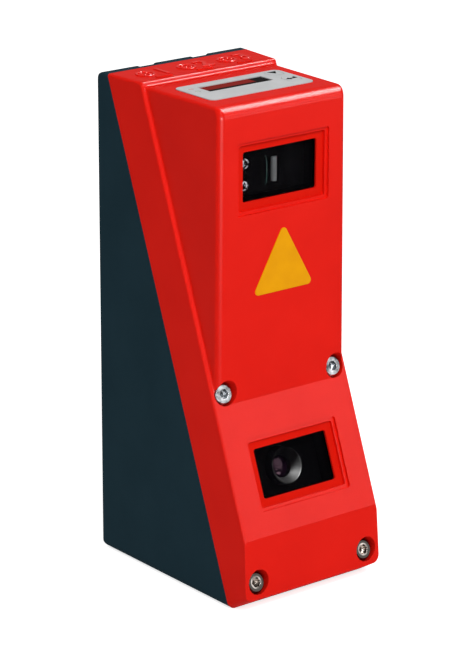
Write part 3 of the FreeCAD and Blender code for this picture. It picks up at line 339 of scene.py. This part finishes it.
# %% Window glass
pane = start_finish("window_glass", Alpha=0.1, Specular_IOR_Level=0.06)
mottle(pane, grain(pane, 0.05, 2), (0.002, 0.002, 0.003), (0.006, 0.005, 0.008))
gloss(pane, grain(pane, 0.3, 2), 0.01, 0.04)
finishes["window_glass"] = pane

# %% Lens glass
lens_coat = start_finish("lens_glass", Specular_IOR_Level=0.08, Specular_Tint=(1.0, 0.5, 0.7, 1))
mottle(lens_coat, grain(lens_coat, 0.25, 2), (0.002, 0.001, 0.003), (0.010, 0.003, 0.010))
gloss(lens_coat, grain(lens_coat, 0.4, 2), 0.04, 0.10)
finishes["lens_glass"] = lens_coat

ground = start_finish("ground_rod", Specular_IOR_Level=0.2)
mottle(ground, grain(ground, 0.6, 2, (1, 1, 0.15)), (0.15, 0.16, 0.165), (0.22, 0.23, 0.235))
gloss(ground, grain(ground, 1.5, 2), 0.25, 0.4)
relief(ground, grain(ground, 2.0, 2, (1, 1, 0.1)), 0.02, 0.3)

# %% [markdown]
# ### Slanted face
#
# Cover, screws and camera look out along one slanted direction. Positions on
# that face are easier to give in its own frame: x runs across, s runs up the
# face from the foot of the parting line, and n points out of it.

# %% Slanted face
TILT = math.radians(20.9991)
SLANT_FOOT_Y = -29.4
SLANT_N = 14.65
UP_SLANT = (0, math.sin(TILT), math.cos(TILT))


def on_slant(x, s, n):
    """Place a point of the slanted face's frame, in mm."""
    y = SLANT_FOOT_Y + s * math.sin(TILT) - n * math.cos(TILT)
    return (x, y, s * math.cos(TILT) + n * math.sin(TILT))


def head_spot(node):
    """Place (x, s) of the right-hand screw of a pair, from the flat top of its head."""
    spots = []
    for corner in solids[node].data.vertices:
        x, y, z = corner.co / MM
        n = z * math.sin(TILT) - (y - SLANT_FOOT_Y) * math.cos(TILT)
        s = z * math.cos(TILT) + (y - SLANT_FOOT_Y) * math.sin(TILT)
        spots.append((round(n, 2), x, s))
    top = max(spots)[0]
    flat = [(x, s) for n, x, s in spots if n == top and x > 0]
    return [(min(values) + max(values)) / 2 for values in zip(*flat)]


SCREW_SPOTS = {node: head_spot(node) for node in ("upper_cover_screws", "lower_cover_screws")}
print("screws at", {node: [round(v, 2) for v in spot] for node, spot in SCREW_SPOTS.items()})

# %% [markdown]
# ### Metals
#
# Screws, ports and brackets are plain metals. They differ in tint and in how
# fine their scratches are; the scratches are noise drawn out along one axis,
# and the rounded edges catch the lamps. On a cover screw the colour falls to
# its dark end in the socket, by the distance from the screw's axis: a painted
# shade. The lower screws sit deeper, so their rims get a painted shade of the
# bore as well, and only a ring round the socket keeps a pale colour, a
# painted highlight of its facets.

# %% Metals
def own_place(finish):
    """The x, y and z of each point in the part's frame, in metres."""
    tree = finish.node_tree
    place = tree.nodes.new("ShaderNodeTexCoord")
    split = tree.nodes.new("ShaderNodeSeparateXYZ")
    tree.links.new(place.outputs["Object"], split.inputs["Vector"])
    return split.outputs


def from_axis(finish, spot):
    """Distance from the axis of the nearer screw of a pair, in metres."""
    tree = finish.node_tree
    x, y, z = own_place(finish)
    across = work_out(tree, "SUBTRACT", work_out(tree, "ABSOLUTE", x), spot[0] * MM)
    rise = work_out(tree, "MULTIPLY", z, math.cos(TILT))
    climb = work_out(tree, "MULTIPLY_ADD", y, math.sin(TILT), rise)
    along = work_out(tree, "SUBTRACT", climb, (spot[1] + SLANT_FOOT_Y * math.sin(TILT)) * MM)
    square = work_out(tree, "MULTIPLY", across, across)
    return work_out(tree, "SQRT", work_out(tree, "MULTIPLY_ADD", along, along, square))


SOCKET_PAINTED_SHADE, RIM_START, RIM_STOP = 0.28, 1.6, 2.1


def metal(name, dark, light, rough, scratch, screw=None):
    """A bare metal with fine scratches; a screw gets painted shade in its socket and on its rim."""
    finish = start_finish(name, Metallic=1.0)
    shade = grain(finish, 0.4, 3)
    if screw:
        # Painted shade: the colour darkens towards the screw's axis and on the rim.
        tree, reach = finish.node_tree, from_axis(finish, SCREW_SPOTS[screw["node"]])
        shade_to, lit_from = screw["socket_shade_to"] * MM, screw["socket_lit_from"] * MM
        socket = rescale(tree, reach, SOCKET_PAINTED_SHADE, 1.0, shade_to, lit_from)
        rim = rescale(tree, reach, 1.0, screw["rim_shade"], RIM_START * MM, RIM_STOP * MM)
        shade = work_out(tree, "MINIMUM", shade, work_out(tree, "MINIMUM", socket, rim))
    mottle(finish, shade, dark, light)
    gloss(finish, grain(finish, 1.2, 3, scratch), *rough)
    relief(finish, grain(finish, 2.5, 2, scratch), 0.01, 0.3, 0.12)
    finishes[name] = finish


TURNED = (1, 0.3, 1)
metal("bright_steel", (0.30, 0.31, 0.32), (0.74, 0.76, 0.78), (0.12, 0.24), TURNED)
# dark_steel is steel painted darker: a painted shade of the deep bores it sits in.
metal("dark_steel", (0.08, 0.068, 0.056), (0.34, 0.29, 0.25), (0.12, 0.22), TURNED)
metal("spring_steel", (0.012, 0.030, 0.027), (0.04, 0.085, 0.075), (0.2, 0.3), (1, 1, 0.2))
# Painted shade in both sockets; the lower screws also get painted shade on the rim and a pale ring
# between, a painted highlight.
upper = {"node": "upper_cover_screws", "socket_shade_to": 1.2, "socket_lit_from": 1.7, "rim_shade": 1.0}
lower = {"node": "lower_cover_screws", "socket_shade_to": 0.9, "socket_lit_from": 1.35, "rim_shade": 0.33}
metal("upper_screw_steel_painted_shade", (0.05, 0.055, 0.06), (0.95, 0.97, 1.0), (0.12, 0.24), TURNED, upper)
metal("lower_screw_steel_painted_light", (0.03, 0.024, 0.02), (0.92, 0.84, 0.78), (0.06, 0.14), TURNED, lower)
# Painted glints: the small screws by the glass rod are black with pale specks that stand for
# glints.
painted_glints = start_finish("painted_glint_steel", Metallic=1.0)
mottle(painted_glints, grain(painted_glints, 0.9, 2), (0.003, 0.003, 0.004), (0.60, 0.60, 0.66), 0.50, 0.60)
gloss(painted_glints, grain(painted_glints, 1.2, 3), 0.15, 0.3)
relief(painted_glints, grain(painted_glints, 2.5, 2), 0.02, 0.3, 0.12)
metal("plain_aluminium", (0.60, 0.61, 0.62), (0.72, 0.73, 0.74), (0.30, 0.45), (0.1, 1, 1))
metal("barrel_brass", (0.58, 0.41, 0.16), (0.68, 0.50, 0.22), (0.22, 0.34), (1, 0.2, 1))
metal("port_nickel", (0.52, 0.50, 0.46), (0.66, 0.64, 0.60), (0.18, 0.30), (1, 1, 0.3))
metal("pin_gold", (0.78, 0.53, 0.17), (0.88, 0.66, 0.28), (0.14, 0.24), TURNED)
print(len(finishes), "finishes so far")

# %% [markdown]
# ### Blacks
#
# Rubber, moulded plastic, chips and anodised metal are all nearly black. Their
# sheen tells them apart: rubber is dull, plastic is a little brighter, and
# anodised metal still shows a soft metallic gleam on its edges. What lies
# behind the windows is matt black, painted darker still: a painted shade of
# the deep window bays.

# %% Blacks
def black(name, dark, light, rough, specks, height, shine):
    """A nearly black surface with its own grain."""
    finish = start_finish(name, Specular_IOR_Level=shine)
    mottle(finish, grain(finish, 0.2, 3), dark, light)
    gloss(finish, grain(finish, 0.8, 3), *rough)
    relief(finish, grain(finish, specks, 3), height, 0.3, 0.1)
    finishes[name] = finish


black("seal_rubber", (0.012, 0.012, 0.012), (0.022, 0.022, 0.022), (0.75, 0.9), 1.6, 0.04, 0.2)
black("black_plastic", (0.010, 0.010, 0.0105), (0.018, 0.018, 0.019), (0.45, 0.6), 2.0, 0.03, 0.2)
# Painted shade: the parts behind the windows get a black far darker than their plastic.
black("painted_shade_black", (0.0006, 0.0006, 0.0007), (0.0014, 0.0013, 0.0016),
      (0.55, 0.7), 2.0, 0.03, 0.008)
black("chip_black", (0.014, 0.014, 0.015), (0.024, 0.024, 0.026), (0.5, 0.65), 3.0, 0.02, 0.35)
black("black_metal", (0.0015, 0.0015, 0.0018), (0.003, 0.003, 0.0034),
      (0.30, 0.42), 3.0, 0.02, 0.02)

# %% [markdown]
# ### Foils and small plastics
#
# The keypad is a silver foil printed from behind, the triangle is a plain
# amber foil, and the boards have green solder mask. All of them are smooth
# with a slight orange-peel ripple.

# %% Foils and small plastics
def smooth_plastic(name, dark, light, rough, shine=0.4):
    """A smooth film or moulding with a slight ripple."""
    finish = start_finish(name, Specular_IOR_Level=shine)
    mottle(finish, grain(finish, 0.15, 3), dark, light)
    gloss(finish, grain(finish, 0.5, 3), *rough)
    relief(finish, grain(finish, 0.9, 2), 0.01, 0.2, 0.12)
    finishes[name] = finish


smooth_plastic("panel_foil", (0.52, 0.53, 0.54), (0.58, 0.59, 0.60), (0.42, 0.55), 0.15)
smooth_plastic("amber_foil", (0.84, 0.345, 0.0), (0.90, 0.39, 0.0), (0.34, 0.46), 0.08)
smooth_plastic("lamp_white", (0.78, 0.78, 0.74), (0.86, 0.86, 0.82), (0.25, 0.4))
smooth_plastic("board_green", (0.008, 0.075, 0.025), (0.013, 0.105, 0.035), (0.25, 0.4))
smooth_plastic("flex_amber", (0.42, 0.16, 0.02), (0.55, 0.22, 0.035), (0.25, 0.4))

# %% [markdown]
# ### Display window and light pipes
#
# The display window is dark red filter plastic. Towards the right end and the
# front edge its colour falls to black, by its place on the panel: a painted
# shade. The two light pipes pick up a trace of the lamp colour below them: a
# reddish one at the back and a greenish one in front.

# %% Display window and light pipes
def ramp_along(finish, axis, start_mm, stop_mm):
    """0 to 1 between two places along an axis, in millimetres."""
    along = own_place(finish)[axis]
    return rescale(finish.node_tree, along, 0.0, 1.0, start_mm * MM, stop_mm * MM)


# Painted shade: the display's red falls to black in a band at the right end and along the front
# edge.
SHADE_BAND_RIGHT, SHADE_BAND_FRONT, SHADE_BAND_BLUR = 5.0, 2.6, 0.4
low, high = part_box("display_window")
shade_band_x, shade_band_y = high.x / MM - SHADE_BAND_RIGHT, low.y / MM + SHADE_BAND_FRONT
filter_red = start_finish("display_red", Specular_IOR_Level=0.0,
                          Coat_Weight=0.05, Coat_Roughness=0.1)
from_right = ramp_along(filter_red, "X", shade_band_x + SHADE_BAND_BLUR, shade_band_x - SHADE_BAND_BLUR)
from_front = ramp_along(filter_red, "Y", shade_band_y - SHADE_BAND_BLUR, shade_band_y + SHADE_BAND_BLUR)
lit = work_out(filter_red.node_tree, "MINIMUM", from_right, from_front)
mottle(filter_red, lit, (0.006, 0.003, 0.003), (0.26, 0.012, 0.008), 0.0, 1.0)
gloss(filter_red, grain(filter_red, 0.4, 2), 0.10, 0.2)
relief(filter_red, grain(filter_red, 0.8, 2), 0.01, 0.15)
finishes["display_red"] = filter_red

GREENISH, REDDISH, PIPE_BLUR = (0.40, 0.48, 0.40), (0.55, 0.36, 0.34), 0.2
low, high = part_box("light_pipes")
between = (low.y + high.y) / 2 / MM
pipe = start_finish("clear_plastic", Specular_IOR_Level=0.5)
front_to_back = ramp_along(pipe, "Y", between - PIPE_BLUR, between + PIPE_BLUR)
mottle(pipe, front_to_back, GREENISH, REDDISH, 0.0, 1.0)
gloss(pipe, grain(pipe, 1.0, 2), 0.15, 0.3)
relief(pipe, grain(pipe, 1.5, 2), 0.01, 0.2, 0.1)
finishes["clear_plastic"] = pipe
print(len(finishes), "finishes")

# %% [markdown]
# ## Finish every solid
#
# The record says which material slot each solid takes. One loop gives every
# solid the finish of that name, so nothing is forgotten. A few depart from
# their slot's finish: the parts behind the windows get a black with painted
# shade, the glass rod is ground and not coated, the small screws beside it are
# black with pale specks of painted glint, and the cover screws get painted
# shade in their sockets, the lower ones also on their rims with a painted
# highlight between.

# %% Finish every solid
def put_finish(piece, finish):
    """Give a solid or a piece one finish."""
    if not piece.material_slots:
        piece.data.materials.append(finish)
    for place in piece.material_slots:
        place.material = finish


for row in frame["record"]["subparts"]:
    put_finish(solids[row["node"]], finishes[row["material_slot"]])
# Painted shade: the parts behind the windows take the painted-shade black.
for node in ("laser_window_retainer", "camera_window_retainer", "line_lens_holder", "camera_block"):
    put_finish(solids[node], finishes["painted_shade_black"])
put_finish(solids["line_lens"], ground)
put_finish(solids["line_lens_screws"], painted_glints)
put_finish(solids["upper_cover_screws"], finishes["upper_screw_steel_painted_shade"])
put_finish(solids["lower_cover_screws"], finishes["lower_screw_steel_painted_light"])

# %% [markdown]
# ## Making pieces
#
# The fine pieces are meshes, and their walls are loops of points joined by
# quads. Most are turned shapes, so one helper spins a profile. Another keeps a
# finished mesh as a piece: it links it, gives it its finish and slot, and lets
# it ride on its body.

# %% Piece helpers
SHARP = math.radians(35)


def seat(origin_mm, along, up):
    """Matrix of a local frame: along is its x, up its y, and z points out of the face."""
    x, y = Vector(along).normalized(), Vector(up).normalized()
    turn = Matrix((x, y, x.cross(y))).transposed().to_4x4()
    return Matrix.Translation(Vector(origin_mm) * MM) @ turn


def bridge(bm, one, two):
    """Quads between two closed loops with as many points."""
    for i in range(len(one)):
        j = (i + 1) % len(one)
        bm.faces.new((one[i], one[j], two[j], two[i]))


def spin(bm, profile, place, around, cut=None):
    """Close a ring-shaped profile of (radius, height) in mm about the local z axis."""
    rings = []
    for radius, height in profile:
        ring = []
        for step in range(around):
            angle = 2 * math.pi * step / around
            reach = (radius - (cut(radius, height, angle) if cut else 0.0)) * MM
            spot = Vector((reach * math.cos(angle), reach * math.sin(angle), height * MM))
            ring.append(bm.verts.new(place @ spot))
        rings.append(ring)
    for one, two in zip(rings, rings[1:] + rings[:1]):
        bridge(bm, one, two)


def keep(name, bm, finish, body="sensor"):
    """Turn a bmesh into a piece that rides on a body; edges from SHARP on stay crisp."""
    bmesh.ops.recalc_face_normals(bm, faces=bm.faces)
    for face in bm.faces:
        face.smooth = True
    for edge in bm.edges:
        edge.smooth = len(edge.link_faces) == 2 and edge.calc_face_angle(0.0) < SHARP
    mesh = bpy.data.meshes.new(name)
    bm.to_mesh(mesh)
    bm.free()
    piece = bpy.data.objects.new(name, mesh)
    bpy.context.scene.collection.objects.link(piece)
    put_finish(piece, finish)
    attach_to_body(piece, body)
    print(name, len(mesh.polygons), "faces")
    return piece


# %% [markdown]
# ### Threaded ports
#
# Cables screw onto the three round ports in the rear bay. A thread is a
# V-shaped groove on a helix: over a full turn it climbs by one pitch. So the
# port's profile is spun as usual, and each point of the threaded length is
# pulled in by how far it lies from the nearest crest of the helix. The
# crests keep the size of the plain solid that the piece replaces.

# %% Threaded ports
PITCH, DEPTH, FADE, FLANK = 1.0, 0.55, 0.5, 2.4
BACKWARDS = ((-1, 0, 0), (0, 0, 1))
PORT_SPOTS = []
for number in (1, 2, 3):
    low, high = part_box(f"port_shell_{number}")
    PORT_SPOTS.append(((low.x + high.x) / 2 / MM, (low.z + high.z) / 2 / MM))
tail_y, tip_y = low.y / MM, high.y / MM
flange_radius = (high.x - low.x) / 2 / MM
seal_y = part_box("port_seals")[1].y / MM
LIP, WALL, FLANGE = 1.4, 1.6, 2.0
crest = flange_radius - LIP
bore = crest - WALL
thread_y = seal_y + FLANGE


def thread_cut(radius, height, angle):
    """How far the thread cuts in, in mm: nothing on a crest, DEPTH in a root."""
    if radius != crest or not thread_y < height < tip_y:
        return 0.0
    turns = (height / PITCH - angle / (2 * math.pi)) % 1.0
    flank = min(1.0, FLANK * abs(turns - 0.5))
    ends = min(1.0, (height - thread_y) / FADE, (tip_y - height) / FADE)
    return DEPTH * (1 - flank) * max(0.0, ends)


BACK_EDGE, FRONT_EDGE, TIP_EDGE, BORE_EDGE = 0.2, 0.3, 0.5, 0.15
THREAD_STEPS = 96
climb = (tip_y - TIP_EDGE - thread_y) / THREAD_STEPS
rows = [(bore, tail_y), (crest, tail_y), (crest, seal_y)]
rows += [(flange_radius - BACK_EDGE, seal_y), (flange_radius, seal_y + BACK_EDGE)]
rows += [(flange_radius, thread_y - FRONT_EDGE), (flange_radius - FRONT_EDGE, thread_y)]
rows += [(crest, thread_y + climb * step) for step in range(THREAD_STEPS + 1)]
rows += [(crest - TIP_EDGE, tip_y), (bore + BORE_EDGE, tip_y), (bore, tip_y - BORE_EDGE)]
for number, (x, z) in enumerate(PORT_SPOTS, start=1):
    shell = bmesh.new()
    spin(shell, rows, seat((x, 0, z), *BACKWARDS), 72, thread_cut)
    port = keep(f"threaded_port_{number}", shell, finishes["port_nickel"])
    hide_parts(f"port_shell_{number}")

# %% [markdown]
# ### Contacts and guides
#
# Each port holds four gold contacts with rounded tips, so that a plug slides
# over them, and a black guide rib at the top that lets the plug in only one
# way round. The tips are a quarter circle spun about the contact's axis. The
# rib is a prism, drawn as an outline on the insert and pulled out to its length.

# %% Contacts
PIN_RADIUS, PIN_FLAT = 0.5, 0.02


def contact_profile(radius, foot, tip):
    """A pin with a rounded tip, closed to a tiny flat at both ends."""
    turns = [math.radians(a) for a in range(0, 90, 15)]
    dome = [(radius * math.cos(a), tip - radius + radius * math.sin(a)) for a in turns]
    return [(PIN_FLAT, foot), (radius, foot), *dome, (PIN_FLAT, tip)]


for number, (x, z) in enumerate(PORT_SPOTS, start=1):
    low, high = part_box(f"port_pins_{number}")
    offset = (high.x - low.x) / 2 / MM - PIN_RADIUS
    pin = contact_profile(PIN_RADIUS, low.y / MM, high.y / MM)
    group = bmesh.new()
    for side_x in (-offset, offset):
        for side_z in (-offset, offset):
            spin(group, pin, seat((x + side_x, 0, z + side_z), *BACKWARDS), 20)
    contacts = keep(f"port_contacts_{number}", group, finishes["pin_gold"])
    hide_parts(f"port_pins_{number}")

# %% Guides
RING_IN, RING_OUT, RING_RISE, RING_EDGE = 3.5, 4.0, 0.35, 0.1
GUIDE_SINK, RIB_LENGTH = 0.1, 7.4


def prism(bm, outline, place, foot, top):
    """Pull a flat outline of a local frame out between two heights, in mm."""
    loops = []
    for height in (foot, top):
        loop = [bm.verts.new(place @ (Vector((u, v, height)) * MM)) for u, v in outline]
        bm.faces.new(loop)
        loops.append(loop)
    bridge(bm, *loops)


ring_shoulder = RING_RISE - RING_EDGE
collar = [(RING_IN, -GUIDE_SINK), (RING_OUT, -GUIDE_SINK), (RING_OUT, ring_shoulder)]
collar += [(RING_OUT - RING_EDGE, RING_RISE), (RING_IN + RING_EDGE, RING_RISE)]
collar += [(RING_IN, ring_shoulder)]
rib = [(-0.55, 4.3), (-0.5, 3.55), (-0.25, 3.3), (0.25, 3.3), (0.5, 3.55), (0.55, 4.3)]
face_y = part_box("port_insert_1")[1].y / MM
guide = bmesh.new()
for x, z in PORT_SPOTS:
    port_seat = seat((x, face_y, z), *BACKWARDS)
    spin(guide, collar, port_seat, 48)
    prism(guide, rib, port_seat, -GUIDE_SINK, RIB_LENGTH)
keep("port_guides", guide, finishes["black_plastic"])

# %% [markdown]
# ### Threads in the mounting holes
#
# The four holes in the back take screws. A short helical sleeve lines each
# hole: outside it sits in the housing, and inside it shows bright cut threads.

# %% Threads in the mounting holes
TAP_X, TAP_ROWS, TAP_RADIUS, TAP_PITCH = 20.0, (66.0, 126.0), 1.65, 0.7
TAP_TOOTH, TAP_FLANK, SLEEVE_WALL = 0.28, 2.2, 0.02
TAP_DEPTH, TAP_STEP, TAP_STEPS = 5.4, 0.1, 52
rear_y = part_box("rear_housing")[1].y / MM


def tap_cut(radius, height, angle):
    """The inner wall of the sleeve goes in and out along a helix."""
    if radius > TAP_RADIUS:
        return 0.0
    turns = (height / TAP_PITCH - angle / (2 * math.pi)) % 1.0
    return TAP_TOOTH * min(1.0, TAP_FLANK * abs(turns - 0.5))


depths = [TAP_STEP * step - TAP_DEPTH for step in range(TAP_STEPS)]
outside = TAP_RADIUS + SLEEVE_WALL
walls = [(outside, depths[-1]), (outside, depths[0])]
walls += [(TAP_RADIUS, depth) for depth in depths]
sleeve = bmesh.new()
for x in (-TAP_X, TAP_X):
    for z in TAP_ROWS:
        spin(sleeve, walls, seat((x, rear_y, z), *BACKWARDS), 36, tap_cut)
keep("mounting_threads", sleeve, finishes["plain_aluminium"])

# %% [markdown]
# ### Marks on the top
#
# Behind the keypad the cover carries raised marks that number the three ports
# below: a digit and a small socket sign, behind a bar. They are moulded with the
# cover, so they are thin raised shapes in the same red, and their tops come
# smooth out of the mould, so they shine a little more. The digits come from a
# text curve with rounded strokes, which is turned into a mesh.

# %% Marks on the top
MARK_RECESS, MARK_HEIGHT, MARK_EDGE = 0.35, 0.34, 0.1
MARK_FOOT = cad_box[1].z / MM - MARK_RECESS
STROKE_GROWTH, STROKE_ROUND = 0.05, 0.14


def add_text(bm, words, centre_mm, size_mm):
    """Add raised characters to a bmesh."""
    curve = bpy.data.curves.new("mark", "FONT")
    curve.body = words
    curve.size = size_mm * MM
    curve.align_x, curve.align_y = "CENTER", "CENTER"
    curve.offset, curve.bevel_depth = STROKE_GROWTH * MM, STROKE_ROUND * MM
    curve.extrude = (MARK_HEIGHT / 2 - STROKE_ROUND) * MM
    curve.bevel_resolution, curve.resolution_u = 2, 6
    holder = bpy.data.objects.new("mark", curve)
    mesh = bpy.data.meshes.new_from_object(holder)
    mesh.transform(Matrix.Translation(Vector(centre_mm) * MM))
    bm.from_mesh(mesh)
    bpy.data.objects.remove(holder)
    bpy.data.curves.remove(curve)
    bpy.data.meshes.remove(mesh)


MARK_Y, DIGIT_SIZE, DIGIT_X = 24.2, 10.0, 3.6
SIGN_X, SIGN_RADIUS, SIGN_WALL = -3.0, 3.2, 0.8
DOT_OUT, DOT_RADIUS, TINY = 0.95, 0.5, 0.01
UPWARDS = ((1, 0, 0), (0, 1, 0))
inside, shoulder = SIGN_RADIUS - SIGN_WALL, MARK_HEIGHT - MARK_EDGE
ring = [(inside, 0), (SIGN_RADIUS, 0), (SIGN_RADIUS, shoulder)]
ring += [(SIGN_RADIUS - MARK_EDGE, MARK_HEIGHT), (inside + MARK_EDGE, MARK_HEIGHT)]
ring += [(inside, shoulder)]
dot = [(TINY, 0), (DOT_RADIUS, 0), (DOT_RADIUS, shoulder)]
dot += [(DOT_RADIUS - MARK_EDGE, MARK_HEIGHT), (TINY, MARK_HEIGHT)]
digit_z = MARK_FOOT + MARK_HEIGHT / 2
marks = bmesh.new()
for number, (x, _) in enumerate(sorted(PORT_SPOTS), start=1):
    add_text(marks, str(number), (x + DIGIT_X, MARK_Y, digit_z), DIGIT_SIZE)
    spin(marks, ring, seat((x + SIGN_X, MARK_Y, MARK_FOOT), *UPWARDS), 48)
    for side_x in (-DOT_OUT, DOT_OUT):
        for side_y in (-DOT_OUT, DOT_OUT):
            spot = (x + SIGN_X + side_x, MARK_Y + side_y, MARK_FOOT)
            spin(marks, dot, seat(spot, *UPWARDS), 16)
raised = start_finish("raised_red", Specular_IOR_Level=0.0, Coat_Weight=0.22, Coat_Roughness=0.24)
mottle(raised, grain(raised, 0.04, 3), DEEP_RED, PALE_RED)
gloss(raised, grain(raised, 0.5, 3), 0.25, 0.31)
relief(raised, grain(raised, 3.0), 0.01, 0.1, 0.10)
gleaming.objects.link(keep("port_marks", marks, raised))

# %% [markdown]
# ### Signs on the keys
#
# The two keys are printed with a solid arrow for "down" and a bent arrow for
# "enter". Ink has almost no height, so each sign is a flat outline given the
# thickness of a print, and it rides on its key so that it goes down with it.

# %% Signs on the keys
ink = start_finish("key_ink", Specular_IOR_Level=0.0, Coat_Weight=0.05, Coat_Roughness=0.4)
mottle(ink, grain(ink, 0.8, 2), (0.010, 0.010, 0.011), (0.018, 0.018, 0.019))
gloss(ink, grain(ink, 1.0, 2), 0.45, 0.6)
INK = 0.03


def print_sign(name, key, outline):
    """Raise a flat outline, in mm from the key's middle, by the thickness of ink."""
    low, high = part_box(key)
    middle = Vector(((low.x + high.x) / 2, (low.y + high.y) / 2, high.z))
    sign = bmesh.new()
    prism(sign, outline, Matrix.Translation(middle), -INK, INK)
    keep(name, sign, ink, body=key)


print_sign("down_sign", "down_key", [(-1.4, 1.8), (0.3, -0.9), (2.0, 1.8)])
bend = [(-2.1, 0.0), (-0.5, 1.15), (-0.5, 0.45), (1.3, 0.45), (1.3, 1.35)]
bend += [(2.1, 1.35), (2.1, -0.45), (-0.5, -0.45), (-0.5, -1.15)]
print_sign("enter_sign", "enter_key", bend)

# %% [markdown]
# ### Window frames
#
# Round each pane, the floor of the recess is polished in the mould, so it shows
# the deep red of the plastic without the sheen of the grained faces. Its red is
# also a little darker than the cover's: a painted shade of the recess. It is a
# thin flat ring with rounded corners, made from two outlines of the same
# number of points, so that quads join them.

# %% Window frames
VIEW = (29.0, 15.9)
RECESS = (33.9, 20.8)
RECESS_DEPTH, CORNER, SKIN, CLEAR = 1.9, 0.8, 0.03, 0.02
CORNER_STEPS = 6
LASER_Z, BLOCK_Y, CAMERA_S = 134.9, -20.6, 39.38


def rounded(size, radius):
    """Outline of a rectangle with round corners, anticlockwise, in mm."""
    points = []
    for quarter, (sx, sy) in enumerate([(1, 1), (-1, 1), (-1, -1), (1, -1)]):
        for step in range(CORNER_STEPS + 1):
            angle = math.radians(90 * (quarter + step / CORNER_STEPS))
            u = sx * (size[0] / 2 - radius) + radius * math.cos(angle)
            points.append((u, sy * (size[1] / 2 - radius) + radius * math.sin(angle)))
    return points


def flat_ring(bm, place, outer, inner, thick):
    """A plate between two outlines, from the local plane up to a thickness."""
    loops = []
    for outline, height in ((outer, 0), (outer, thick), (inner, thick), (inner, 0)):
        loops.append([bm.verts.new(place @ (Vector((u, v, height)) * MM)) for u, v in outline])
    for one, two in zip(loops, loops[1:] + loops[:1]):
        bridge(bm, one, two)


# Painted shade: the recess floor's red is darker than the cover's.
polished_painted_shade = start_finish("polished_red_painted_shade", Specular_IOR_Level=0.0,
                        Coat_Weight=0.03, Coat_Roughness=0.12)
mottle(polished_painted_shade, grain(polished_painted_shade, 0.04, 3), (0.70, 0.0095, 0.0035), (0.75, 0.0115, 0.0045))
gloss(polished_painted_shade, grain(polished_painted_shade, 0.5, 3), 0.2, 0.28)
relief(polished_painted_shade, grain(polished_painted_shade, 0.9, 2), 0.01, 0.1)
rings = bmesh.new()
outer = rounded([side - 2 * CLEAR for side in RECESS], CORNER)
inner = rounded([side + 2 * CLEAR for side in VIEW], CORNER)
for place in (
    seat((0, BLOCK_Y + RECESS_DEPTH, LASER_Z), (1, 0, 0), (0, 0, 1)),
    seat(on_slant(0, CAMERA_S, SLANT_N - RECESS_DEPTH), (1, 0, 0), UP_SLANT),
):
    flat_ring(rings, place, outer, inner, SKIN)
keep("window_frames", rings, polished_painted_shade)

# %% [markdown]
# ### Lens hood
#
# The front of the lens barrel is a deep cone. A satin lining with fine ridges
# sits in it and catches stray light. Through the window it shows as a soft
# grey crescent, because the deep cone faces the light only on one side. The
# ridges are a zigzag profile spun about the lens axis, in the frame of the
# slanted face. The lining is nearly black, so a strong small gleam lamp draws
# the crescent, and light linking keeps that lamp off everything else.

# %% Lens hood
LENS_N, CONE_TOP, CONE_FOOT, CONE_DEPTH = 8.75, 5.55, 3.7, 3.15
RIDGES, RIDGE_DEPTH, LINING, TUCK, RIM_WIDTH = 18, 0.05, 0.03, 0.02, 0.3
mouth = seat(on_slant(0, CAMERA_S, LENS_N), (1, 0, 0), UP_SLANT)
rim = CONE_TOP + RIM_WIDTH
hood_profile = [(CONE_FOOT, -CONE_DEPTH - TUCK), (CONE_TOP + TUCK, 0.0), (rim, 0.0)]
hood_profile += [(rim, LINING), (CONE_TOP, LINING)]
for step in range(1, RIDGES):
    share = step / RIDGES
    ridge = LINING + (RIDGE_DEPTH if step % 2 else 0.0)
    radius = CONE_TOP + (CONE_FOOT - CONE_TOP) * share - ridge
    hood_profile.append((radius, -CONE_DEPTH * share))
hood_profile.append((CONE_FOOT - LINING, -CONE_DEPTH))
hood = bmesh.new()
spin(hood, hood_profile, mouth, 96)
satin = start_finish("satin_black", Specular_IOR_Level=0.04)
mottle(satin, grain(satin, 0.3, 2), (0.002, 0.002, 0.0023), (0.004, 0.0039, 0.0043))
gloss(satin, grain(satin, 0.8, 2), 0.48, 0.56)
relief(satin, grain(satin, 2.0, 2), 0.01, 0.2)
lens_gleam = soft_box("lens_gleam", (-0.40, -0.23, 0.89), 1.3, (0.25, 0.25), 2300.0)
lens_gleam.visible_diffuse = False
lens_side = bpy.data.collections.new("lens_side")
lens_side.objects.link(keep("lens_hood", hood, satin))
lens_gleam.light_linking.receiver_collection = lens_side

# %% [markdown]
# ### Rod clip
#
# A thin spring strip beside the glass rod holds it in its cradle. It is dark
# blued steel and shows as one fine upright line in the laser window. The strip
# has a bent foot at each end and is lofted from a short list of stations.

# %% Rod clip
low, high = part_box("line_lens")
rod_x, rod_z = (low.x + high.x) / 2 / MM, (low.z + high.z) / 2 / MM
holder_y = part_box("line_lens_holder")[0].y / MM
CLIP_OUT, CLIP_HALF, CLIP_THICK, CLIP_SINK = 3.4, 0.16, 0.2, 0.02
upper_half = [(2.0, 0.8), (4.0, 0.5), (4.3, 0.0), (4.6, 0.0)]
stations = [(-up, lift) for up, lift in reversed(upper_half)] + upper_half
clip_x = rod_x - CLIP_OUT
clip = bmesh.new()
loops = []
for up, lift in stations:
    near, far = holder_y - lift - CLIP_THICK, holder_y - lift + CLIP_SINK
    corners = [(-CLIP_HALF, near), (CLIP_HALF, near), (CLIP_HALF, far), (-CLIP_HALF, far)]
    spots = [Vector((clip_x + u, y, rod_z + up)) * MM for u, y in corners]
    loops.append([clip.verts.new(spot) for spot in spots])
clip.faces.new(loops[0])
clip.faces.new(loops[-1])
for one, two in zip(loops, loops[1:]):
    bridge(clip, one, two)
keep("rod_clip", clip, finishes["spring_steel"])
